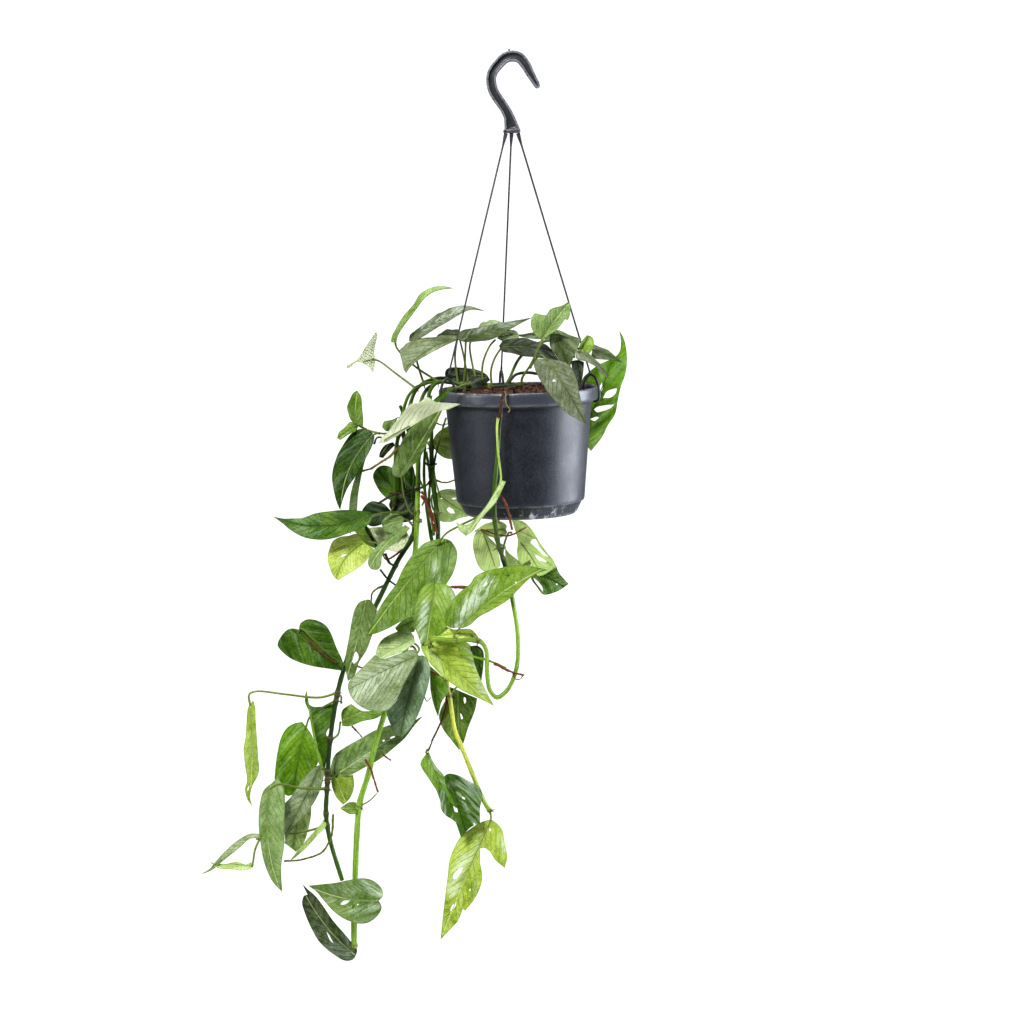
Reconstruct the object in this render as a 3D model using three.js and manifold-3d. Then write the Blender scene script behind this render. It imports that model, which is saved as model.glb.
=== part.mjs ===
// A cebu blue pothos that trails from a hanging nursery pot. Millimetres, +Z up.
// The origin is the seat of the hook, +X is to the viewer's right and +Y is away from the viewer.
import * as THREE from "three";
import { mergeVertices } from "three/addons/utils/BufferGeometryUtils.js";
import Module from "manifold-3d";

const wasm = await Module();
wasm.setup();

// Driving sizes of the pot, with its heights measured from the top of the rim
const RIM_RADIUS = 80;
const POT_HEIGHT = 127;
const BAND_HEIGHT = 13;
const WALL = 2;
const BODY_TOP_RADIUS = 73.5;
const BODY_FOOT_RADIUS = 64.8;
const FOOT_HEIGHT = 14;
const FOOT_TOP_RADIUS = 62;
const FOOT_RADIUS = 57;
const FLOOR = 2.5;
const DRAIN_HOLES = 6;
const DRAIN_RADIUS = 4;
const DRAIN_CIRCLE = 38;
const POT_SEGMENTS = 30;
const GAP = 0.3;

// Driving sizes of the hanger
const SEAT_ABOVE_RIM = 322;
const AXIS_X = -2.2;
const HOOK_DEPTH = 8;
const HOOK_WEB = 3;
const HOOK_FLANGE = 1.7;
const HOOK_BASE = -69.6;
const BAR_WIDTH = 17;
const BAR_HEIGHT = 3.6;
const STRAND_RADIUS = 0.95;
const ROD_RADIUS = 1.3;
const CLIP_SIDES = { left: 199, back: 103, right: -10 };

// Driving sizes of the plant
const BLADE = 0.7;
const STALK_RADIUS = 1.4;
const ROOT_RADIUS = 1;
const HOLE_CLEARANCE = 1.4;
const ROOTED_DEPTH = 10;
const ABOVE_MIX = 3.4;

// The viewer. Places on the plant are given as they are seen from there: millimetres across and up
// from the centre of the rim, on a plane that faces the viewer, and then how deep they lie along Y.
const EYE = new THREE.Vector3(-9.1, -2110.9, 159.2);
const LOOK_DOWN = THREE.MathUtils.degToRad(7.7);
const LEAN = THREE.MathUtils.degToRad(1.4);
const SEEN_SCALE = 1.006;
const LOOK = new THREE.Vector3(0, Math.cos(LOOK_DOWN), -Math.sin(LOOK_DOWN));
const SEEN_UP = new THREE.Vector3(0, Math.sin(LOOK_DOWN), Math.cos(LOOK_DOWN)).applyAxisAngle(LOOK, LEAN);
const SEEN_RIGHT = LOOK.clone().cross(SEEN_UP);

// The place in space that is seen at these distances across and up, at this depth
function seen(across, up, depth) {
  const target = SEEN_RIGHT.clone().multiplyScalar(across * SEEN_SCALE);
  target.addScaledVector(SEEN_UP, up * SEEN_SCALE);
  const sight = target.sub(EYE);
  return EYE.clone().addScaledVector(sight, (depth - EYE.y) / sight.y);
}

// A place given directly, from the centre of the rim
function at(x, y, z) {
  return new THREE.Vector3(x, y, z);
}

// Solids

// A solid from its corners and triangles, turned right side out if they run the other way round
function solidFrom(points, triangles) {
  const vertProperties = new Float32Array(points.flatMap((p) => [p.x, p.y, p.z]));
  const triVerts = new Uint32Array(triangles.flat());
  const solid = new wasm.Manifold(new wasm.Mesh({ numProp: 3, vertProperties, triVerts }));
  return solid.volume() < 0 ? solidFrom(points, triangles.map(([a, b, c]) => [a, c, b])) : solid;
}

function meshFrom(name, solid, colour, roughness, metalness = 0) {
  const { vertProperties, triVerts } = solid.getMesh();
  const geometry = new THREE.BufferGeometry();
  geometry.setAttribute("position", new THREE.BufferAttribute(Float32Array.from(vertProperties), 3));
  geometry.setIndex(new THREE.BufferAttribute(Uint32Array.from(triVerts), 1));
  const material = new THREE.MeshStandardMaterial({ color: colour, roughness, metalness });
  const mesh = new THREE.Mesh(geometry, material);
  mesh.name = name;
  return mesh;
}

// A solid from a closed three.js geometry, without the flat triangles on its axis
function solidOf(geometry) {
  geometry.deleteAttribute("normal");
  geometry.deleteAttribute("uv");
  const { attributes, index } = mergeVertices(geometry, 1e-4);
  const points = [];
  for (let i = 0; i < attributes.position.count; i += 1) {
    points.push(new THREE.Vector3().fromBufferAttribute(attributes.position, i));
  }
  const triangles = [];
  for (let i = 0; i < index.count; i += 3) {
    const corners = [index.getX(i), index.getX(i + 1), index.getX(i + 2)];
    if (new Set(corners).size === 3) {
      triangles.push(corners);
    }
  }
  return solidFrom(points, triangles);
}

// A closed solid turned about Z from [radius, height] points that start and end on the axis
function turned(profile) {
  const outline = profile.map(([radius, height]) => new THREE.Vector2(radius, height));
  return solidOf(new THREE.LatheGeometry(outline, POT_SEGMENTS).rotateX(Math.PI / 2));
}

// An upright cylinder from its foot to its top
function upright(x, y, foot, top, radius, sides) {
  const cylinder = new THREE.CylinderGeometry(radius, radius, top - foot, sides);
  return solidOf(cylinder.rotateX(Math.PI / 2).translate(x, y, (foot + top) / 2));
}

// Shares of a smooth curve at which it is drawn: at each of its points, and between distant ones
function sharesOf(points, step) {
  const spans = points.length - 1;
  const shares = [0];
  for (let span = 0; span < spans; span += 1) {
    const pieces = Math.max(1, Math.round(points[span].distanceTo(points[span + 1]) / step));
    for (let i = 1; i <= pieces; i += 1) {
      shares.push((span + i / pieces) / spans);
    }
  }
  return shares;
}

// A round bar along a smooth curve through the points, with a radius that changes evenly
function bar(points, startRadius, endRadius, sides, step) {
  const curve = new THREE.CatmullRomCurve3(points, false, "centripetal");
  const shares = sharesOf(points, step);
  const steps = shares.length - 1;
  const normal = new THREE.Vector3(0.31, -0.86, 0.4);
  const corners = [];
  for (const share of shares) {
    const centre = curve.getPoint(share);
    const tangent = curve.getTangent(share);
    normal.addScaledVector(tangent, -normal.dot(tangent)).normalize();
    const binormal = tangent.cross(normal);
    const radius = THREE.MathUtils.lerp(startRadius, endRadius, share);
    for (let j = 0; j < sides; j += 1) {
      const angle = (2 * Math.PI * j) / sides;
      const corner = centre.clone().addScaledVector(normal, radius * Math.cos(angle));
      corners.push(corner.addScaledVector(binormal, radius * Math.sin(angle)));
    }
  }
  const triangles = [];
  for (let j = 0; j < sides; j += 1) {
    const next = (j + 1) % sides;
    for (let i = 0; i < steps; i += 1) {
      const near = i * sides;
      const far = near + sides;
      triangles.push([near + j, near + next, far + next], [near + j, far + next, far + j]);
    }
  }
  const far = steps * sides;
  for (let j = 1; j < sides - 1; j += 1) {
    triangles.push([0, j + 1, j], [far, far + j, far + j + 1]);
  }
  return solidFrom(corners, triangles);
}

// Leaves

// Outlines of half a blade, from the foot to the tip: [share of the length, share of the half width]
const OUTLINES = {
  kidney: [[0, 0], [-0.24, 0.2], [-0.36, 0.58], [-0.2, 0.92], [0.1, 1], [0.42, 0.8], [0.72, 0.44], [1, 0]],
  heart: [[0.02, 0], [-0.07, 0.3], [-0.04, 0.68], [0.1, 0.96], [0.3, 0.98], [0.52, 0.8], [0.78, 0.42], [1, 0]],
  egg: [[0, 0], [-0.03, 0.35], [0.03, 0.72], [0.17, 0.97], [0.36, 0.99], [0.58, 0.8], [0.82, 0.36], [1, 0]],
  lance: [[0, 0], [0, 0.35], [0.1, 0.78], [0.26, 0.99], [0.48, 0.93], [0.72, 0.6], [0.9, 0.22], [1, 0]],
  arrow: [[0, 0], [-0.06, 0.4], [-0.06, 0.85], [0.04, 1], [0.22, 0.66], [0.46, 0.42], [0.75, 0.2], [1, 0]],
  round: [[0, 0], [-0.02, 0.4], [0.08, 0.82], [0.28, 1], [0.55, 0.98], [0.78, 0.75], [0.94, 0.4], [1, 0]],
};

// The surface of a blade: a bent midrib with halves that fold, curl and wave beside it
function bladeSurface(leaf) {
  const { base, tip, width, split, face, bow, bend, twist, fold, curl, wave, waves } = leaf;
  const chord = tip.clone().sub(base);
  const length = chord.length();
  const along = chord.clone().normalize();
  const up = face.clone().addScaledVector(along, -face.dot(along)).normalize();
  const side = along.clone().cross(up);
  const middle = base.clone().lerp(tip, 0.5);
  middle.addScaledVector(up, 2 * bow * length).addScaledVector(side, 2 * bend * length);
  const midrib = new THREE.QuadraticBezierCurve3(base, middle, tip);
  const halves = [width * split, width * (1 - split)];

  // The point and the normal at a share of the length and a distance across, right positive
  function point(share, across) {
    const t = THREE.MathUtils.clamp(share, 0, 1);
    const tangent = midrib.getTangent(t);
    const centre = midrib.getPoint(t).addScaledVector(tangent, (share - t) * length);
    const normal = up.clone().addScaledVector(tangent, -up.dot(tangent)).normalize();
    normal.applyAxisAngle(tangent, twist * t);
    const right = tangent.clone().cross(normal);
    const sign = Math.sign(across);
    const distance = Math.abs(across);
    const half = halves[across < 0 ? 0 : 1];
    const start = fold[across < 0 ? 0 : 1];
    const turn = curl / half;
    const end = start - turn * distance;
    const reach = (Math.sin(start) - Math.sin(end)) / turn;
    const ripple = wave * (distance / half) ** 2 * Math.sin(2 * Math.PI * (waves * share + 0.25 * sign));
    const lift = (Math.cos(end) - Math.cos(start)) / turn + ripple;
    const place = centre.addScaledVector(right, sign * reach).addScaledVector(normal, lift);
    const facing = normal.clone().multiplyScalar(Math.cos(end)).addScaledVector(right, -sign * Math.sin(end));
    return { place, facing };
  }
  return { length, halves, point };
}

// A prism through the blade, for a slit or a hole that runs out beside a side vein
function slitSolid(surface, [share, across, slitLength, slitWidth]) {
  const sides = 4;
  const slope = THREE.MathUtils.degToRad(52);
  const sign = Math.sign(across);
  const corners = [];
  for (const reach of [-3, 3]) {
    for (let i = 0; i < sides; i += 1) {
      const angle = (2 * Math.PI * i) / sides;
      const outward = 0.55 * slitLength * Math.cos(angle);
      const beside = 0.6 * slitWidth * Math.sin(angle);
      const on = outward * Math.cos(slope) - beside * Math.sin(slope);
      const off = outward * Math.sin(slope) + beside * Math.cos(slope);
      const { place, facing } = surface.point(share + on / surface.length, across + sign * off);
      corners.push(place.addScaledVector(facing, reach));
    }
  }
  const triangles = [];
  for (let i = 0; i < sides; i += 1) {
    const next = (i + 1) % sides;
    triangles.push([i, next, sides + next], [i, sides + next, sides + i]);
  }
  for (let i = 1; i < sides - 1; i += 1) {
    triangles.push([0, i + 1, i], [sides, sides + i, sides + i + 1]);
  }
  return solidFrom(corners, triangles);
}

// A blade as one closed sheet, in ribs that run from the midrib to the margin
function bladeSolid(leaf) {
  const surface = bladeSurface(leaf);
  const small = leaf.width < 31;
  const outline = OUTLINES[leaf.kind].filter((_, rib) => !small || ![1, 4].includes(rib));
  const last = outline.length - 1;
  const rows = leaf.width > 45 ? 2 : 1;
  const ids = new Map();
  const upper = [];
  const lower = [];

  function corner(rib, row, sign) {
    const onMidrib = row === 0 || rib === 0 || rib === last;
    const key = onMidrib ? `${rib}` : `${rib} ${row} ${sign}`;
    if (!ids.has(key)) {
      const [share, out] = outline[rib];
      const foot = THREE.MathUtils.lerp(outline[0][0], 1, rib / last);
      const s = onMidrib ? 0 : row / rows;
      const across = sign * s * out * surface.halves[sign < 0 ? 0 : 1];
      const { place, facing } = surface.point(THREE.MathUtils.lerp(foot, share, s), across);
      ids.set(key, upper.length);
      upper.push(place.clone().addScaledVector(facing, BLADE / 2));
      lower.push(place.clone().addScaledVector(facing, -BLADE / 2));
    }
    return ids.get(key);
  }

  const faces = [];
  for (const sign of [-1, 1]) {
    for (let rib = 0; rib < last; rib += 1) {
      for (let row = 0; row < rows; row += 1) {
        const a = corner(rib, row, sign);
        const b = corner(rib + 1, row, sign);
        const c = corner(rib + 1, row + 1, sign);
        const d = corner(rib, row + 1, sign);
        for (const [i, j, k] of [[a, c, b], [a, d, c]]) {
          if (i !== j && j !== k && k !== i) {
            faces.push(sign > 0 ? [i, j, k] : [i, k, j]);
          }
        }
      }
    }
  }

  const count = upper.length;
  const triangles = faces.map(([i, j, k]) => [i, j, k]);
  triangles.push(...faces.map(([i, j, k]) => [i + count, k + count, j + count]));
  const rim = [];
  for (let rib = 0; rib < last; rib += 1) {
    rim.push(corner(rib, rows, 1));
  }
  for (let rib = last; rib > 0; rib -= 1) {
    rim.push(corner(rib, rows, -1));
  }
  rim.forEach((i, n) => {
    const j = rim[(n + 1) % rim.length];
    triangles.push([i, i + count, j + count], [i, j + count, j]);
  });
  let solid = solidFrom([...upper, ...lower], triangles);
  for (const slit of leaf.slits) {
    solid = solid.subtract(slitSolid(surface, slit));
  }
  return solid;
}

// A leaf's stalk, which ends in the underside of its midrib
function stalkSolid(leaf) {
  const surface = bladeSurface(leaf);
  const { place, facing } = surface.point(0.08, 0);
  const points = [...leaf.stalk, place.addScaledVector(facing, -0.3)];
  return bar(points, STALK_RADIUS, STALK_RADIUS * 0.75, 3, 22);
}

// A leaf from its seen base and tip, its true width and how it is bent. Angles are in degrees:
// fold lifts each half, left then right, curl bends the margins back down and twist turns the tip.
// split is the left half's share of the width.
function leaf(base, tip, width, form = {}) {
  const radians = THREE.MathUtils.degToRad;
  const fold = [form.fold ?? 8].flat();
  return {
    base: seen(...base),
    tip: seen(...tip),
    width,
    split: form.split ?? 0.5,
    kind: form.kind ?? "egg",
    face: new THREE.Vector3(...(form.face ?? [0, -1, 0.25])).normalize(),
    bow: form.bow ?? 0.05,
    bend: form.bend ?? 0,
    twist: radians(form.twist ?? 0),
    fold: [radians(fold[0]), radians(fold.at(-1))],
    curl: radians(form.curl ?? 22),
    wave: form.wave ?? 0.8,
    waves: form.waves ?? 2,
    slits: form.slits ?? [],
    stalk: form.stalk.map((place) => seen(...place)),
  };
}

// Vines. A stem starts at its root in the mix, given as x and y, and then runs through seen places.

function stem(root, radii, places) {
  const [startRadius, endRadius] = radii;
  return { root, startRadius, endRadius, places };
}


const VINES = {
  vine_front: {
    colour: 0x5f8f33,
    stems: [
      stem([-6, -44], [2.2, 1.9], [
        [-11, -1, -64], [-14, -1, -80], [-16, -9, -89], [-18, -33, -87], [-21, -73, -85], [-23, -113, -84],
        [-21, -150, -82], [-12.5, -180, -74], [-5, -215, -70], [0, -252, -69], [-2, -283, -68], [-11, -303, -67],
        [-21, -310, -67], [-28, -303, -67], [-31, -283, -67], [-32, -260, -67], [-38, -252, -67],
        [-63, -253, -68], [-84, -252, -68],
      ]),
    ],
    twigs: [
      [[-17, -22, -88], [-20, -30, -91], [-21, -60, -90], [-19, -92, -90]],
      [[-22.5, -103, -84.6], [-16, -110, -86], [-10, -122, -82], [-7, -141, -78]],
      [[-40, -143, -70], [-30, -148, -78], [-14, -151, -80], [5, -141, -76]],
      [[-60, -262, -68], [-38, -273, -70], [-8, -284, -72], [5, -289, -73]],
    ],
    leaves: {
      c1: leaf([-77, -154, -28], [-151, -249, -36], 58, {
        split: 0.6,
        face: [-0.1, -1, 0.3],
        fold: [10, 4],
        wave: 1.5,
        stalk: [[-22, -116, -84], [-38, -128, -66], [-60, -139, -44], [-73, -147, -33]],
      }),
      c3: leaf([-82, -197, -40], [-93, -268, -52], 46, {
        face: [-0.1, -1, 0.3],
        fold: [4, 30],
        stalk: [[-14, -184, -75], [-30, -200, -56], [-58, -199, -44]],
      }),
      c4: leaf([-62, -245, -66], [30, -179, -80], 44, {
        bend: -0.05,
        split: 0.7,
        face: [0.1, -1, 0.25],
        fold: [14, 6],
        slits: [[0.55, -7, 3, 2.2], [0.6, 6, 3, 1.6]],
        stalk: [[-63, -253, -68], [-64, -249, -67]],
      }),
      c5: leaf([-8, -143, -60], [24, -188, -64], 44, {
        bend: 0.02,
        face: [0.1, 1, 0.2],
        fold: [10, -10],
        curl: 30,
        slits: [[0.42, -15, 22, 5], [0.62, -13, 18, 4]],
        stalk: [[-16, -172, -76], [-14, -158, -70], [-9, -145, -62]],
      }),
      c5_end: leaf([4, -178, -60], [46, -200, -54], 34, {
        kind: "round",
        face: [0.2, -1, 0.5],
        stalk: [[12, -174, -60], [6, -177, -60]],
      }),
      c6: leaf([-37, -141, -66], [-20, -188, -68], 28, {
        face: [0.1, 1, 0.1],
        fold: 4,
        stalk: [[-22, -150, -82], [-32, -146, -74]],
      }),
      c8: leaf([-12, -142, -66], [-44, -144, -68], 18, {
        face: [0, 1, 0.3],
        stalk: [[-22, -132, -83], [-15, -138, -74]],
      }),
      c9: leaf([-14, -158, -50], [10, -188, -50], 24, {
        face: [0, 1, 0.4],
        stalk: [[-18, -160, -80], [-17, -157, -60]],
      }),
      c11: leaf([-16, -95, -92], [-53, -150, -86], 20, {
        kind: "lance",
        face: [0.75, 0.3, 0.5],
        bend: 0.05,
        fold: 20,
        stalk: [[-19, -88, -90], [-16, -92, -92]],
      }),
      d6: leaf([-92, -258, -68], [-25, -319, -72], 46, {
        face: [0, -1, 0.3],
        fold: [6, 22],
        wave: 1.6,
        stalk: [[-84, -252, -68], [-90, -255, -68]],
      }),
      d7: leaf([-46, -247, -62], [-86, -250, -74], 26, {
        face: [0.1, -0.7, 0.8],
        fold: 34,
        wave: 2,
        stalk: [[-42, -252, -67], [-44, -250, -64]],
      }),
      d8: leaf([-46, -250, -50], [-34, -298, -50], 26, {
        kind: "lance",
        stalk: [[-44, -252, -67], [-46, -249, -56]],
      }),
    },
  },

  vine_middle: {
    colour: 0x6b8c3a,
    stems: [
      stem([-54, -12], [2.6, 2.3], [
        [-68, 6, -12], [-81, 5, -11], [-89, -6, -11], [-87, -30, -10], [-86, -83, -4], [-80, -143, 0],
        [-82, -180, 6], [-83, -220, 8], [-78, -260, 4], [-71, -298, 0], [-68, -313, 0], [-63, -343, 0],
        [-57, -358, 0], [-45, -388, -1], [-35, -412, -2], [-28, -424, -2],
      ]),
      stem(null, [2, 1.8], [
        [-89, -6, -11], [-93, -24, -16], [-93, -56, -13], [-94, -90, -8], [-90, -130, -4], [-82, -176, 5],
      ]),
    ],
    twigs: [
      [[-71, -301, 0], [-73, -323, -2], [-83, -348, -3], [-90, -364, -3]],
      [[-94, -90, -8], [-100, -106, -8], [-93, -122, -10], [-82, -147, -10]],
      [[-92, -118, -5], [-88, -140, -9], [-86, -152, -8]],
      [[-84, -95, -4], [-74, -97, 2], [-64, -93, 6]],
    ],
    leaves: {
      c10: leaf([-84, -104, 40], [-36, -133, 74], 40, {
        kind: "heart",
        face: [-0.5, -1, 0.1],
        slits: [[0.22, -9, 7, 3], [0.42, -10, 8, 3.4], [0.36, 8, 10, 6.5]],
        stalk: [[-82, -126, -1], [-86, -118, 20], [-86, -108, 34]],
      }),
      m9: leaf([-88, -52, 30], [-50, -64, 66], 34, {
        kind: "round",
        face: [-0.6, -1, 0.1],
        stalk: [[-86, -60, -6], [-90, -56, 12]],
      }),
      d9: leaf([-88, -284, -6], [-80, -330, -12], 20, {
        kind: "lance",
        stalk: [[-72, -294, 0], [-82, -286, -3]],
      }),
      d10: leaf([-60, -296, 12], [-59, -357, 12], 38, {
        kind: "egg",
        fold: [10, 22],
        slits: [[0.18, -6, 9, 4], [0.5, -9, 8, 2.2], [0.62, -8, 7, 2]],
        stalk: [[-69, -310, 1], [-64, -302, 8]],
      }),
      f3: leaf([-27, -434, -2], [-77, -552, -10], 42, {
        split: 0.4,
        kind: "lance",
        face: [-0.2, -1, 0.3],
        fold: [8, 4],
        slits: [[0.28, 15, 22, 8], [0.4, -8, 15, 5], [0.68, -6, 14, 3.4]],
        stalk: [[-28, -424, -2], [-27, -431, -2]],
      }),
      f3_ear: leaf([-25, -438, -3], [-16, -481, -8], 22, {
        kind: "egg",
        face: [0.3, -1, 0.3],
        bend: -0.04,
        stalk: [[-28, -430, -2], [-26, -435, -2]],
      }),
      f4: leaf([-91, -366, -3], [-62, -436, -8], 24, {
        kind: "lance",
        face: [-0.6, -0.9, 0.1],
        bend: -0.05,
        twist: 50,
        stalk: [[-90, -362, -3], [-92, -365, -3]],
      }),
      f4_end: leaf([-70, -392, -6], [-50, -452, -16], 42, {
        face: [0.2, -1, 0.4],
        fold: [24, 10],
        wave: 2.5,
        slits: [[0.45, 5, 5, 3], [0.7, -6, 5, 2.4]],
        stalk: [[-82, -392, -4], [-79, -389, -5]],
      }),
    },
  },

  vine_light: {
    colour: 0x6f9a35,
    stems: [
      stem([-48, 8], [2.4, 3.1], [
        [-66, 5, 4], [-80, 5, 3], [-92, -3, 2], [-99, -22, 1], [-100, -60, 0], [-100, -90, 0], [-101, -123, 0],
        [-102, -153, 0], [-104, -178, 0], [-108, -213, 0], [-111, -253, 0], [-119, -286, 0], [-130, -316, -1],
        [-143, -358, -2], [-150, -388, -2], [-158, -414, -2], [-161, -443, -2], [-163, -493, -2],
        [-164, -540, -2], [-164, -560, -2],
      ]),
      stem([-30, 8], [2.2, 2], [[-44, 5, 5], [-58, 4, 3], [-72, 5, 4]]),
    ],
    twigs: [
      [[-150, -384, -4], [-148, -378, -8], [-142, -396, -10], [-141, -405, -10]],
      [[-158, -416, -2], [-150, -412, -6], [-141, -405, -8]],
    ],
    leaves: {
      t3: leaf([-58, 48, 4], [-114, 17, -26], 28, {
        split: 0.4,
        kind: "round",
        face: [-0.15, -0.75, 0.65],
        bow: 0.14,
        stalk: [[-60, 4, 3], [-63, 30, 5]],
      }),
      t4: leaf([-56, 45, 2], [17, 71, 8], 19, {
        kind: "lance",
        face: [0, -0.62, 0.78],
        stalk: [[-54, 4, 3], [-53, 26, 3]],
      }),
      t5: leaf([-58, 53, 16], [-82, 48, 16], 20, {
        kind: "round",
        face: [0, -0.6, 0.8],
        stalk: [[-50, 5, 4], [-54, 30, 12]],
      }),
      t6: leaf([-46, 51, 18], [-10, 60, 20], 21, {
        face: [0, -0.7, 0.7],
        bow: 0.1,
        stalk: [[-41, 4.6, 5.2], [-45, 20, 10], [-48, 44, 16]],
      }),
      t7: leaf([-24, 48, 4], [2, 53, 4], 18, {
        face: [0, -0.7, 0.7],
        stalk: [[-36, 3.5, 6], [-35, 25, 4], [-28, 42, 3]],
      }),
      t8: leaf([-30, 12, 9], [-73, 9, 9], 21, {
        kind: "round",
        face: [0, -0.85, 0.5],
        stalk: [[-46, 5, 5], [-37, 9, 8]],
      }),
      m8: leaf([-119, -90, -22], [-77, -21, -34], 30, {
        face: [0.1, -1, 0.2],
        kind: "lance",
        stalk: [[-101, -124, 0], [-106, -126, -8], [-114, -108, -20]],
      }),
      l4: leaf([-93, -133, -14], [-150, -184, -20], 30, {
        kind: "lance",
        bend: 0.1,
        face: [0.1, -0.8, 0.5],
        stalk: [[-102, -134, 0], [-97, -132, -8]],
      }),
      d3: leaf([-105, -251, -16], [-143, -274, -22], 30, {
        face: [0, -1, 0.4],
        stalk: [[-111, -250, 0], [-107, -250, -10]],
      }),
      d4: leaf([-101, -268, -38], [-172, -304, -48], 56, {
        kind: "round",
        face: [0, -1, 0.35],
        bow: 0.07,
        fold: 5,
        wave: 1.2,
        stalk: [[-112, -256, 0], [-104, -256, -14], [-99, -263, -32]],
      }),
      d5: leaf([-98, -268, -22], [-118, -351, -28], 36, {
        face: [-0.2, -1, 0.15],
        stalk: [[-112, -258, 0], [-104, -260, -10]],
      }),
      e13: leaf([-160, -421, -4], [-178, -421, -2], 13, {
        face: [0, -1, 0.5],
        stalk: [[-159, -420, -2], [-160, -420, -3]],
      }),
      f1: leaf([-138, -513, -16], [-209, -499, -20], 48, {
        bend: -0.07,
        kind: "heart",
        face: [0, -1, 0.4],
        bow: 0.06,
        slits: [[0.38, -6, 6, 2.4], [0.44, -9, 5, 2.6]],
        stalk: [[-163, -524, -2], [-150, -524, -4], [-138, -520, -8]],
      }),
      f2: leaf([-165, -566, -2], [-218, -498, -8], 34, {
        split: 0.55,
        bend: -0.06,
        face: [0.3, -1, 0.3],
        fold: [20, 14],
        slits: [[0.42, -8, 14, 3.4], [0.3, -8, 8, 2.4]],
        stalk: [[-164, -558, -2], [-165, -563, -2]],
      }),
    },
  },

  vine_dark: {
    colour: 0x35592b,
    stems: [
      stem([-50, 20], [2.5, 2.3], [
        [-68, 9, 14], [-82, 9, 12], [-98, 2, 11], [-107, -14, 11], [-109, -60, 11], [-104, -120, 10],
        [-104, -145, 8], [-120, -173, 2], [-130, -193, -2], [-146, -225, -4], [-168, -263, -4],
        [-173, -278, -4], [-180, -303, -4], [-188, -353, -2], [-191, -400, -2], [-192, -428, 0],
        [-188, -453, 0], [-176, -493, 0],
      ]),
    ],
    twigs: [
      [[-112, -160, 6], [-132, -172, 10], [-136, -165, 10], [-142, -154, 6]],
      [[-134, -198, -2], [-145, -205, 2], [-147, -214, 4]],
      [[-190, -404, -2], [-183, -428, -6], [-188, -450, -8], [-215, -470, -6], [-234, -474, -4]],
    ],
    leaves: {
      l1: leaf([-147, -126, -14], [-245, -129, -24], 34, {
        kind: "lance",
        face: [0, -0.9, 0.5],
        bend: -0.15,
        stalk: [[-104, -121, 10], [-114, -125, 3], [-130, -125, -6]],
      }),
      l2: leaf([-149, -153, 2], [-182, -192, -6], 43, {
        bend: 0.12,
        kind: "round",
        face: [0, -1, 0.2],
        stalk: [[-136, -165, 10], [-141, -156, 5]],
      }),
      l3: leaf([-138, -160, 8], [-164, -128, 14], 26, {
        stalk: [[-134, -168, 10], [-137, -163, 9]],
      }),
      l5: leaf([-104, -146, 12], [-150, -162, 20], 32, {
        kind: "egg",
        face: [0.1, -1, 0.3],
        stalk: [[-105, -150, 7], [-104, -148, 10]],
      }),
      d1: leaf([-223, -244, -18], [-174, -284, -14], 50, {
        kind: "heart",
        face: [-0.1, -1, 0.2],
        fold: [4, 10],
        stalk: [[-173, -278, -4], [-186, -270, -24], [-206, -251, -26], [-217, -241, -22]],
      }),
      d2: leaf([-152, -213, -16], [-173, -296, -20], 28, {
        kind: "lance",
        face: [-0.5, -1, 0.2],
        bend: -0.05,
        slits: [[0.72, 7, 14, 5]],
        stalk: [[-142, -224, -4], [-144, -220, -14], [-149, -213, -17]],
      }),
      e1: leaf([-268, -313, -12], [-269, -420, -10], 21, {
        kind: "lance",
        face: [0.8, -0.6, 0.1],
        wave: 1.8,
        stalk: [[-180, -305, -4], [-198, -310, -6], [-232, -307, -12], [-262, -304, -14], [-269, -307, -13]],
      }),
      e2: leaf([-212, -338, 16], [-226, -412, 16], 44, {
        face: [-0.1, -1, 0.15],
        fold: [4, 14],
        stalk: [[-182, -313, -4], [-195, -320, 6], [-208, -329, 14]],
      }),
      e3: leaf([-176, -312, 6], [-194, -386, 8], 36, {
        kind: "lance",
        face: [-0.3, -1, 0.2],
        stalk: [[-181, -308, -4], [-177, -309, 3]],
      }),
      e3_edge: leaf([-193, -385, 2], [-212, -298, 2], 12, {
        kind: "lance",
        face: [0.9, -0.6, 0.1],
        fold: 20,
        stalk: [[-190, -392, -2], [-193, -388, 1]],
      }),
      e4: leaf([-180, -335, 8], [-135, -317, 14], 30, {
        face: [0, -0.9, 0.5],
        stalk: [[-186, -352, -2], [-180, -347, 5]],
      }),
      e5: leaf([-183, -388, 12], [-96, -331, 16], 34, {
        kind: "lance",
        face: [0.1, -1, 0.3],
        slits: [[0.62, -4, 9, 2], [0.78, -3, 8, 2.2]],
        stalk: [[-190, -394, -1], [-186, -390, 7]],
      }),
      e6: leaf([-197, -378, 6], [-238, -456, 0], 30, {
        kind: "lance",
        face: [0.3, -1, 0.3],
        stalk: [[-190, -384, -2], [-194, -381, 4]],
      }),
      e7: leaf([-247, -396, -16], [-235, -509, -20], 27, {
        bend: 0.06,
        kind: "lance",
        face: [-0.3, -1, 0.2],
        fold: 8,
        stalk: [[-191, -401, -2], [-215, -401, -12], [-240, -397, -18]],
      }),
      e8: leaf([-259, -450, -2], [-319, -490, -4], 18, {
        kind: "lance",
        face: [-0.45, -0.25, 0.85],
        fold: 30,
        bow: 0.03,
        stalk: [[-190, -438, 0], [-222, -446, 4], [-250, -446, 0]],
      }),
      e9: leaf([-264, -480, 0], [-309, -478, -2], 18, {
        kind: "lance",
        face: [0, -0.3, 0.95],
        stalk: [[-256, -447, 0], [-263, -462, 0], [-265, -474, 0]],
      }),
      e10: leaf([-216, -402, 14], [-226, -468, 12], 26, {
        kind: "lance",
        face: [0.1, -1, 0.2],
        stalk: [[-191, -402, -1], [-204, -402, 9]],
      }),
      e11: leaf([-193, -433, 4], [-226, -473, 2], 14, {
        kind: "lance",
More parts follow.
